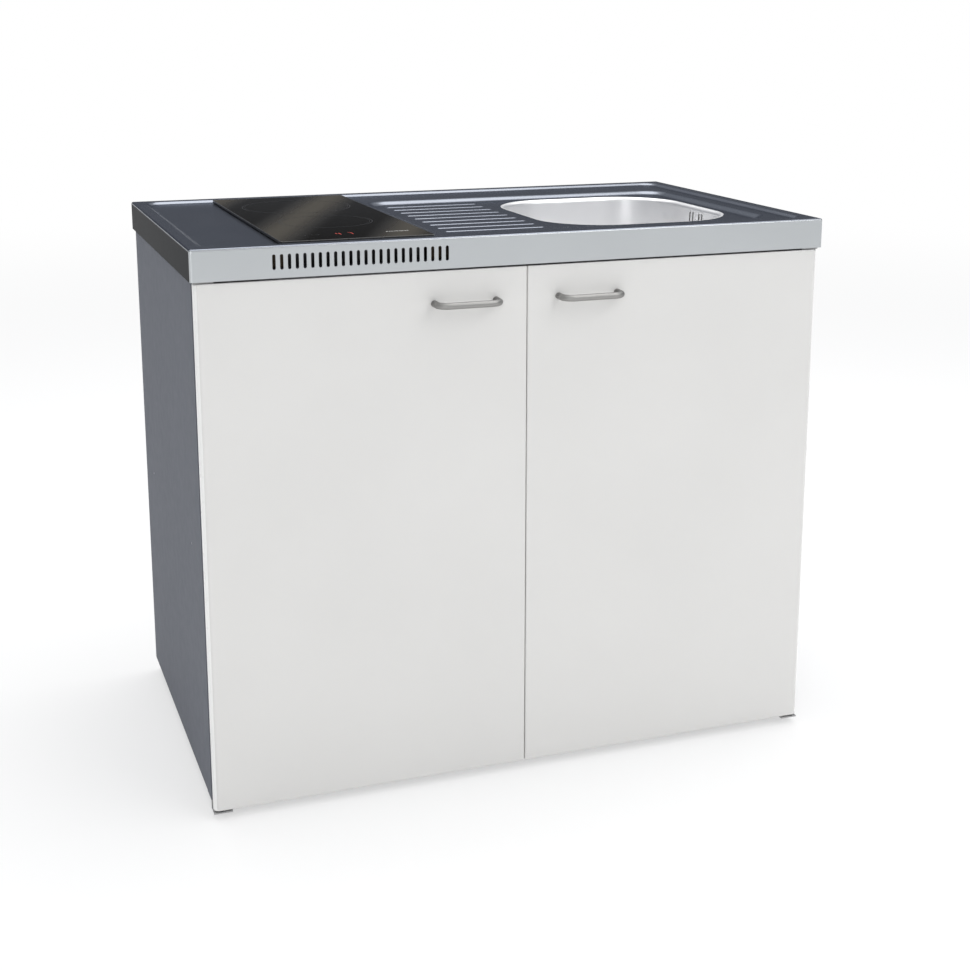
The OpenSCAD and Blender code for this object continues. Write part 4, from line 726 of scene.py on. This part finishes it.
right_wall = max((f for f in bm.faces if abs(f.normal.x) > 0.9),
                 key=lambda f: f.calc_area() + f.calc_center_median().x)
wall_normal = (-1, 0, WALL_LEAN / WALL_H)
wall_edges = open_up(bm, right_wall)
for side in (-2, -1, 1, 2):
    wall_edges += on_wall(plate(bm, (side * SLOT_PITCH, 0, 0), SLOT_SIZE, SLOT_R, SMALL_STEPS))
hole = bmesh.ops.create_circle(bm, cap_ends=True, radius=SCREW_R, segments=16)["verts"]
wall_edges += on_wall(next(f for f in bm.faces if set(f.verts) == set(hole)))
fill(bm, wall_edges, normal=wall_normal)
face_up(bm)
bowl = show("sink_bowl_sheet", bm, [bowl_steel], "cabinet", ["sink_bowl"])
thicken(bowl, SHEET)

# %% [markdown]
# ## Hob glass and its print
#
# The pane has a ground edge; its right-facing part takes a lighter copy of the edge finish as a painted
# highlight. The marks are thin layers on the glass: two cooking zones, two touch keys, a slider and two lit
# power levels.

# %% Glass pane
glass_low, glass_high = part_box("hob_glass")
PRINT_T = 0.05 * MM
PANE_TOP = glass_high.z - PRINT_T
GLASS_SIZE = (glass_high.x - glass_low.x, glass_high.y - glass_low.y)
GLASS_MID = ((glass_low.x + glass_high.x) / 2, (glass_low.y + glass_high.y) / 2)
GLASS_CORNER_R, ARRIS = mm(4, 0.9)
ARRIS_STEPS = 4
BODY, FRONT_EDGE, HIGHLIGHT_EDGE = 0, 1, 2
bm = bmesh.new()
pane_bottom = plate(bm, (*GLASS_MID, glass_low.z), GLASS_SIZE, GLASS_CORNER_R, ROUND_STEPS)
pane_bottom.normal_flip()
bottom_edges = list(pane_bottom.edges)
pane_top = plate(bm, (*GLASS_MID, PANE_TOP - ARRIS), GLASS_SIZE, GLASS_CORNER_R, ROUND_STEPS)
arris = [(ARRIS * (1 - math.cos(a)), PANE_TOP - ARRIS + ARRIS * math.sin(a))
         for a in quarter_turn(ARRIS_STEPS)]
arris_outline = press(bm, pane_top, arris, material=FRONT_EDGE)
for f in bmesh.ops.bridge_loops(bm, edges=bottom_edges + arris_outline)["faces"]:
    f.material_index = FRONT_EDGE
bmesh.ops.recalc_face_normals(bm, faces=bm.faces)
# Edge faces turned to the right take the lighter edge finish: a painted highlight.
for f in bm.faces:
    if f.material_index != BODY and f.normal.x > 0.5:
        f.material_index = HIGHLIGHT_EDGE
show("hob_pane", bm, [hob_glass, dark_edge, edge_highlight_finish], "cabinet", ["hob_glass"])


# %% Print on the glass
def flat_ring(bm, x, y, radius, width, steps=96):
    """The flat faces of one printed ring; finish_print raises them."""
    where = Matrix.Translation((x, y, PANE_TOP))
    loops = [bmesh.ops.create_circle(bm, radius=r, segments=steps, matrix=where)["verts"]
             for r in (radius, radius - width)]
    edges = {e for loop in loops for v in loop for e in v.link_edges}
    bmesh.ops.bridge_loops(bm, edges=list(edges))


def finish_print(name, bm, finish):
    """Raises every printed face by the print's thickness and closes it."""
    raised = bmesh.ops.extrude_face_region(bm, geom=list(bm.faces))["geom"]
    bmesh.ops.translate(bm, verts=[g for g in raised if isinstance(g, bmesh.types.BMVert)],
                        vec=(0, 0, PRINT_T))
    bmesh.ops.recalc_face_normals(bm, faces=bm.faces)
    show(name, bm, [finish], "cabinet", [])


ZONES = [mm(142, 90), mm(-59.5, 72.5)]
OUTER_LINE, INNER_LINE, LINE_GAP = mm(1, 0.4, 4)
KEY_Y, KEY_R, KEY_LINE = mm(-202, 6, 0.5)
bm = bmesh.new()
for y, radius in ZONES:
    flat_ring(bm, HOB_X, y, radius, OUTER_LINE)
    flat_ring(bm, HOB_X, y, radius - LINE_GAP, INNER_LINE)
for offset in mm(-72, -52):
    flat_ring(bm, HOB_X + offset, KEY_Y, KEY_R, KEY_LINE, 48)
finish_print("zone_rings", bm, hob_print)

SLIDER_START, SLIDER_PITCH, SLIDER_BAR = mm(57, 4, 3)
SLIDER_COUNT = 9
bm = bmesh.new()
for step in range(SLIDER_COUNT):
    bar_x = HOB_X + SLIDER_START + step * SLIDER_PITCH
    flat_rectangle(bm, (bar_x, KEY_Y, PANE_TOP), (SLIDER_BAR, SLIDER_BAR))
finish_print("slider_bars", bm, pale_print)

# %% [markdown]
# A lit number is made of the seven bars that such displays have; each digit lists its bars.

# %% Lit power levels
SEGMENTS = {"top": (0, 2, 1), "middle": (0, 0, 1), "bottom": (0, -2, 1), "upper_left": (-1, 1, 0),
            "upper_right": (1, 1, 0), "lower_left": (-1, -1, 0), "lower_right": (1, -1, 0)}
DIGITS = {-17: ("upper_left", "upper_right", "middle", "lower_right"),
          1: ("top", "upper_right", "lower_right")}
HALF_W, HALF_H, STROKE = mm(2.4, 4.5, 1.2)
FLAT_BAR, UPRIGHT_BAR = (1.6 * HALF_W, STROKE), (STROKE, 1.7 * HALF_H)
bm = bmesh.new()
for offset, lit in DIGITS.items():
    for column, row, flat in (SEGMENTS[s] for s in lit):
        middle = (HOB_X + offset * MM + column * HALF_W, KEY_Y + row * HALF_H, PANE_TOP)
        flat_rectangle(bm, middle, FLAT_BAR if flat else UPRIGHT_BAR)
finish_print("lit_levels", bm, lit_print)

# %% [markdown]
# ## Doors
#
# A door is a shallow sheet tray with rounded edges: wide at the hinge, tight at the split. A
# cube takes the door's box, its edges are bevelled, and the back is opened up to a narrow lip.
# The rounded edges towards the hinge and the top get a lighter, glossier copy of the lacquer: a painted
# highlight.


# %% Door skins
HINGE_EDGE, SPLIT_EDGE, END_EDGE_R = (8.5 * MM, 12), (2.2 * MM, SMALL_STEPS), 2 * MM
COLLAR_R, COLLAR_IN, SKIN_LIP, SKIN_T = mm(6.55, 10, 10, 0.8)
FLAT_AREA, SAME_PLACE, MIN_RUN = 0.004, 0.01 * MM, 0.1 * MM
HIGHLIGHT_SIDEWAYS, HIGHLIGHT_UPWARDS = 0.45, 0.2


def edges_at(bm, axis, place, other_axis=None):
    """Edges whose two ends lie at one place along an axis, and that run along another axis."""
    found = []
    for e in bm.edges:
        a, b = e.verts
        if all(abs(v.co[axis] - place) < SAME_PLACE for v in e.verts):
            if other_axis is None or abs(a.co[other_axis] - b.co[other_axis]) > MIN_RUN:
                found.append(e)
    return found


def door_skin(name, body, hinge_side):
    """One door's outer sheet; hinge_side is -1 for a hinge at the left and 1 at the right."""
    low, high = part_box(name)
    size, mid = high - low, (low + high) / 2
    hinge_x, split_x = (low.x, high.x) if hinge_side < 0 else (high.x, low.x)
    bm = bmesh.new()
    bmesh.ops.create_cube(bm, size=1, matrix=Matrix.Translation(mid) @ Matrix.Diagonal((*size, 1)))
    for x, (radius, steps) in ((hinge_x, HINGE_EDGE), (split_x, SPLIT_EDGE)):
        bmesh.ops.bevel(bm, geom=edges_at(bm, 0, x, 2), offset=radius, offset_type="OFFSET",
                        affect="EDGES", segments=steps, profile=0.5, material=-1)
    ends = [e for z in (low.z, high.z) for e in edges_at(bm, 2, z)]
    bmesh.ops.bevel(bm, geom=ends, offset=END_EDGE_R, offset_type="OFFSET", affect="EDGES",
                    segments=SMALL_STEPS, profile=0.5, material=-1)
    for f in bm.faces:
        f.smooth = f.calc_area() < FLAT_AREA
        # Small faces turned to the hinge side or upwards take the lighter lacquer: a painted highlight.
        if f.smooth and (f.normal.x * hinge_side > HIGHLIGHT_SIDEWAYS or f.normal.z > HIGHLIGHT_UPWARDS):
            f.material_index = 1
    for z, up in ((low.z, -1), (high.z, 1)):
        end = max((f for f in bm.faces if abs(f.calc_center_median().z - z) < SAME_PLACE),
                  key=lambda f: f.calc_area())
        rim = open_up(bm, end)
        collar_mid = Matrix.Translation((hinge_x - hinge_side * COLLAR_IN, mid.y, z))
        collar = bmesh.ops.create_circle(bm, cap_ends=True, radius=COLLAR_R, segments=32, matrix=collar_mid)
        rim += open_up(bm, next(f for f in bm.faces if set(f.verts) == set(collar["verts"])))
        fill(bm, rim, normal=(0, 0, up))
    back = max((f for f in bm.faces if f.normal.y > 0.9), key=lambda f: f.calc_area())
    bmesh.ops.inset_region(bm, faces=[back], thickness=SKIN_LIP, use_even_offset=True, use_boundary=True)
    open_up(bm, back)
    bmesh.ops.recalc_face_normals(bm, faces=bm.faces)
    front = max(bm.faces, key=lambda f: f.calc_area())
    if front.normal.y > 0:
        bmesh.ops.reverse_faces(bm, faces=bm.faces)
    skin = show(name + "_sheet", bm, [door_paint, highlight_edge_paint], body, [name])
    thicken(skin, SKIN_T)


door_skin("left_door_skin", "left_door", -1)
door_skin("right_door_skin", "right_door", 1)

# %% [markdown]
# ## Handles
#
# A handle is bent from one round rod. A circle is pushed out of the door, spun round the first
# bend, pushed along the grip, spun round the second bend and pushed back to the door.

# %% Handles
ROD_R, BEND_R, LEG_PITCH = mm(5, 15, 96)
ROD_SIDES, ROD_STEPS = 28, 12


def push(bm, ring, vector):
    """Extrudes an open ring of edges along a vector and returns the new ring."""
    points, ring = grow(bm, ring)
    bmesh.ops.translate(bm, verts=points, vec=vector)
    return ring


def spin_ring(bm, ring, centre):
    """Spins an open ring a quarter turn about an upright axis."""
    geom = list({v for e in ring for v in e.verts}) + list(ring)
    last = bmesh.ops.spin(bm, geom=geom, cent=centre, axis=(0, 0, 1), angle=RIGHT_ANGLE,
                          steps=ROD_STEPS, use_merge=False)["geom_last"]
    return [g for g in last if isinstance(g, bmesh.types.BMEdge)]


def bow_handle(name, body):
    """One handle, bent inside the box of its construction."""
    low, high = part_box(name)
    start = Vector((low.x + ROD_R, high.y, (low.z + high.z) / 2))
    leg = high.y - low.y - ROD_R - BEND_R
    bm = bmesh.new()
    upright = Matrix.Translation(start) @ Matrix.Rotation(RIGHT_ANGLE, 4, "X")
    first = bmesh.ops.create_circle(bm, radius=ROD_R, segments=ROD_SIDES, matrix=upright)
    ring = list({e for v in first["verts"] for e in v.link_edges})
    ring = push(bm, ring, (0, -leg, 0))
    ring = spin_ring(bm, ring, (start.x + BEND_R, start.y - leg, start.z))
    ring = push(bm, ring, (LEG_PITCH - 2 * BEND_R, 0, 0))
    ring = spin_ring(bm, ring, (start.x + LEG_PITCH - BEND_R, start.y - leg, start.z))
    push(bm, ring, (0, leg, 0))
    bmesh.ops.holes_fill(bm, edges=[e for e in bm.edges if e.is_boundary], sides=0)
    bmesh.ops.recalc_face_normals(bm, faces=bm.faces)
    for f in bm.faces:
        f.smooth = len(f.verts) == 4
    show(name + "_rod", bm, [handle_steel], body, [name])


bow_handle("left_handle", "left_door")
bow_handle("right_handle", "right_door")

# %% [markdown]
# ## Overflow hose
#
# The hose between the overflow and the waste is ribbed so that it bends without a kink. One
# ring is pushed along in two-millimetre steps, wide and narrow in turn, and turned in the bend.

# %% Overflow hose
HOSE_START, HOSE_REACH, HOSE_BEND = mm(48.5, 168.62, 26)
PORT_Z, HOSE_TOP = 652.5 * MM, 813 * MM
HOSE_WIDE, HOSE_NARROW, RIB_STEP = mm(10, 8.7, 2)
HOSE_TURN = math.radians(-4.081)
HOSE_SIDES, HOSE_BEND_STEPS = 24, 20
bm = bmesh.new()
centre = Vector((HOSE_START, 0, PORT_Z))
first = bmesh.ops.create_circle(bm, radius=HOSE_NARROW, segments=HOSE_SIDES,
                                matrix=Matrix.Translation(centre) @ Matrix.Rotation(RIGHT_ANGLE, 4, "Y"))
ring = list({e for v in first["verts"] for e in v.link_edges})
LEVEL_RUN, UPRIGHT_RUN = HOSE_REACH - HOSE_BEND - HOSE_START, HOSE_TOP - PORT_Z - HOSE_BEND
level_steps, upright_steps = round(LEVEL_RUN / RIB_STEP), round(UPRIGHT_RUN / RIB_STEP)
bend_centre = Vector((HOSE_REACH - HOSE_BEND, 0, PORT_Z + HOSE_BEND))
for i in range(level_steps + HOSE_BEND_STEPS + upright_steps):
    points, ring = grow(bm, ring)
    if i < level_steps:
        move = Matrix.Translation((LEVEL_RUN / level_steps, 0, 0))
    elif i < level_steps + HOSE_BEND_STEPS:
        move = (Matrix.Translation(bend_centre) @ Matrix.Rotation(-RIGHT_ANGLE / HOSE_BEND_STEPS, 4, "Y")
                @ Matrix.Translation(-bend_centre))
    else:
        move = Matrix.Translation((0, 0, UPRIGHT_RUN / upright_steps))
    bmesh.ops.transform(bm, matrix=move, verts=points)
    centre = move @ centre
    wider = HOSE_WIDE / HOSE_NARROW if i % 2 == 0 else HOSE_NARROW / HOSE_WIDE
    bmesh.ops.scale(bm, vec=(wider,) * 3, space=Matrix.Translation(-centre), verts=points)
bmesh.ops.holes_fill(bm, edges=[e for e in bm.edges if e.is_boundary], sides=0)
bmesh.ops.recalc_face_normals(bm, faces=bm.faces)
for f in bm.faces:
    f.smooth = len(f.verts) == 4
bmesh.ops.transform(bm, matrix=Matrix.Translation((*BOWL_MID, 0)) @ Matrix.Rotation(HOSE_TURN, 4, "Z"),
                    verts=bm.verts)
show("ribbed_hose", bm, [pipe_plastic], "cabinet", ["overflow_hose"])

# %% [markdown]
# ## Finishes for the other pieces
#
# The rest of the construction already has the right shape, so each node only gets its finish.

# %% Finishes by node
FINISHES = {
    bright_steel: ["waste_cup", "waste_screws", "basket_strainer", "hinge_pins"],
    hob_tray_painted_shade: ["hob_tray"],
    zinc: ["hob_clips", "heater_dishes", "heater_ribbons", "shelf_pins",
           "worktop_screws", "left_handle_screws", "right_handle_screws"],
    cabinet_paint: ["left_side", "right_side", "floor_panel", "back_panel", "front_rail", "rear_rail",
                    "partition", "shelf"],
    bracket_paint: ["hinge_brackets"],
    door_paint: ["left_door_liner", "right_door_liner"],
    timber: ["edge_battens", "cross_battens"],
    pipe_plastic: ["waste_body", "overflow_head", "trap_tailpipe", "trap_bottle", "trap_cup",
                   "trap_nuts", "outlet_pipe"],
    rubber: ["hob_seal", "waste_gaskets", "door_buffers"],
    bitumen: ["sound_pads"],
    mineral: ["heater_insulation", "heater_limiters"],
    honeycomb: ["left_door_core", "right_door_core"],
    green_board: ["control_board"],
    nylon: ["control_box", "terminal_block", "cable_gland", "foot_blocks", "catch_magnets",
            "left_pivot_blocks", "right_pivot_blocks", "foot_front_left", "foot_front_right",
            "foot_rear_left", "foot_rear_right"],
}
for finish, names in FINISHES.items():
    for name in names:
        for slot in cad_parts[name].material_slots:
            slot.material = finish
covered = {n for names in FINISHES.values() for n in names}
print("nodes with a finish", len(covered), "of", len(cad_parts))
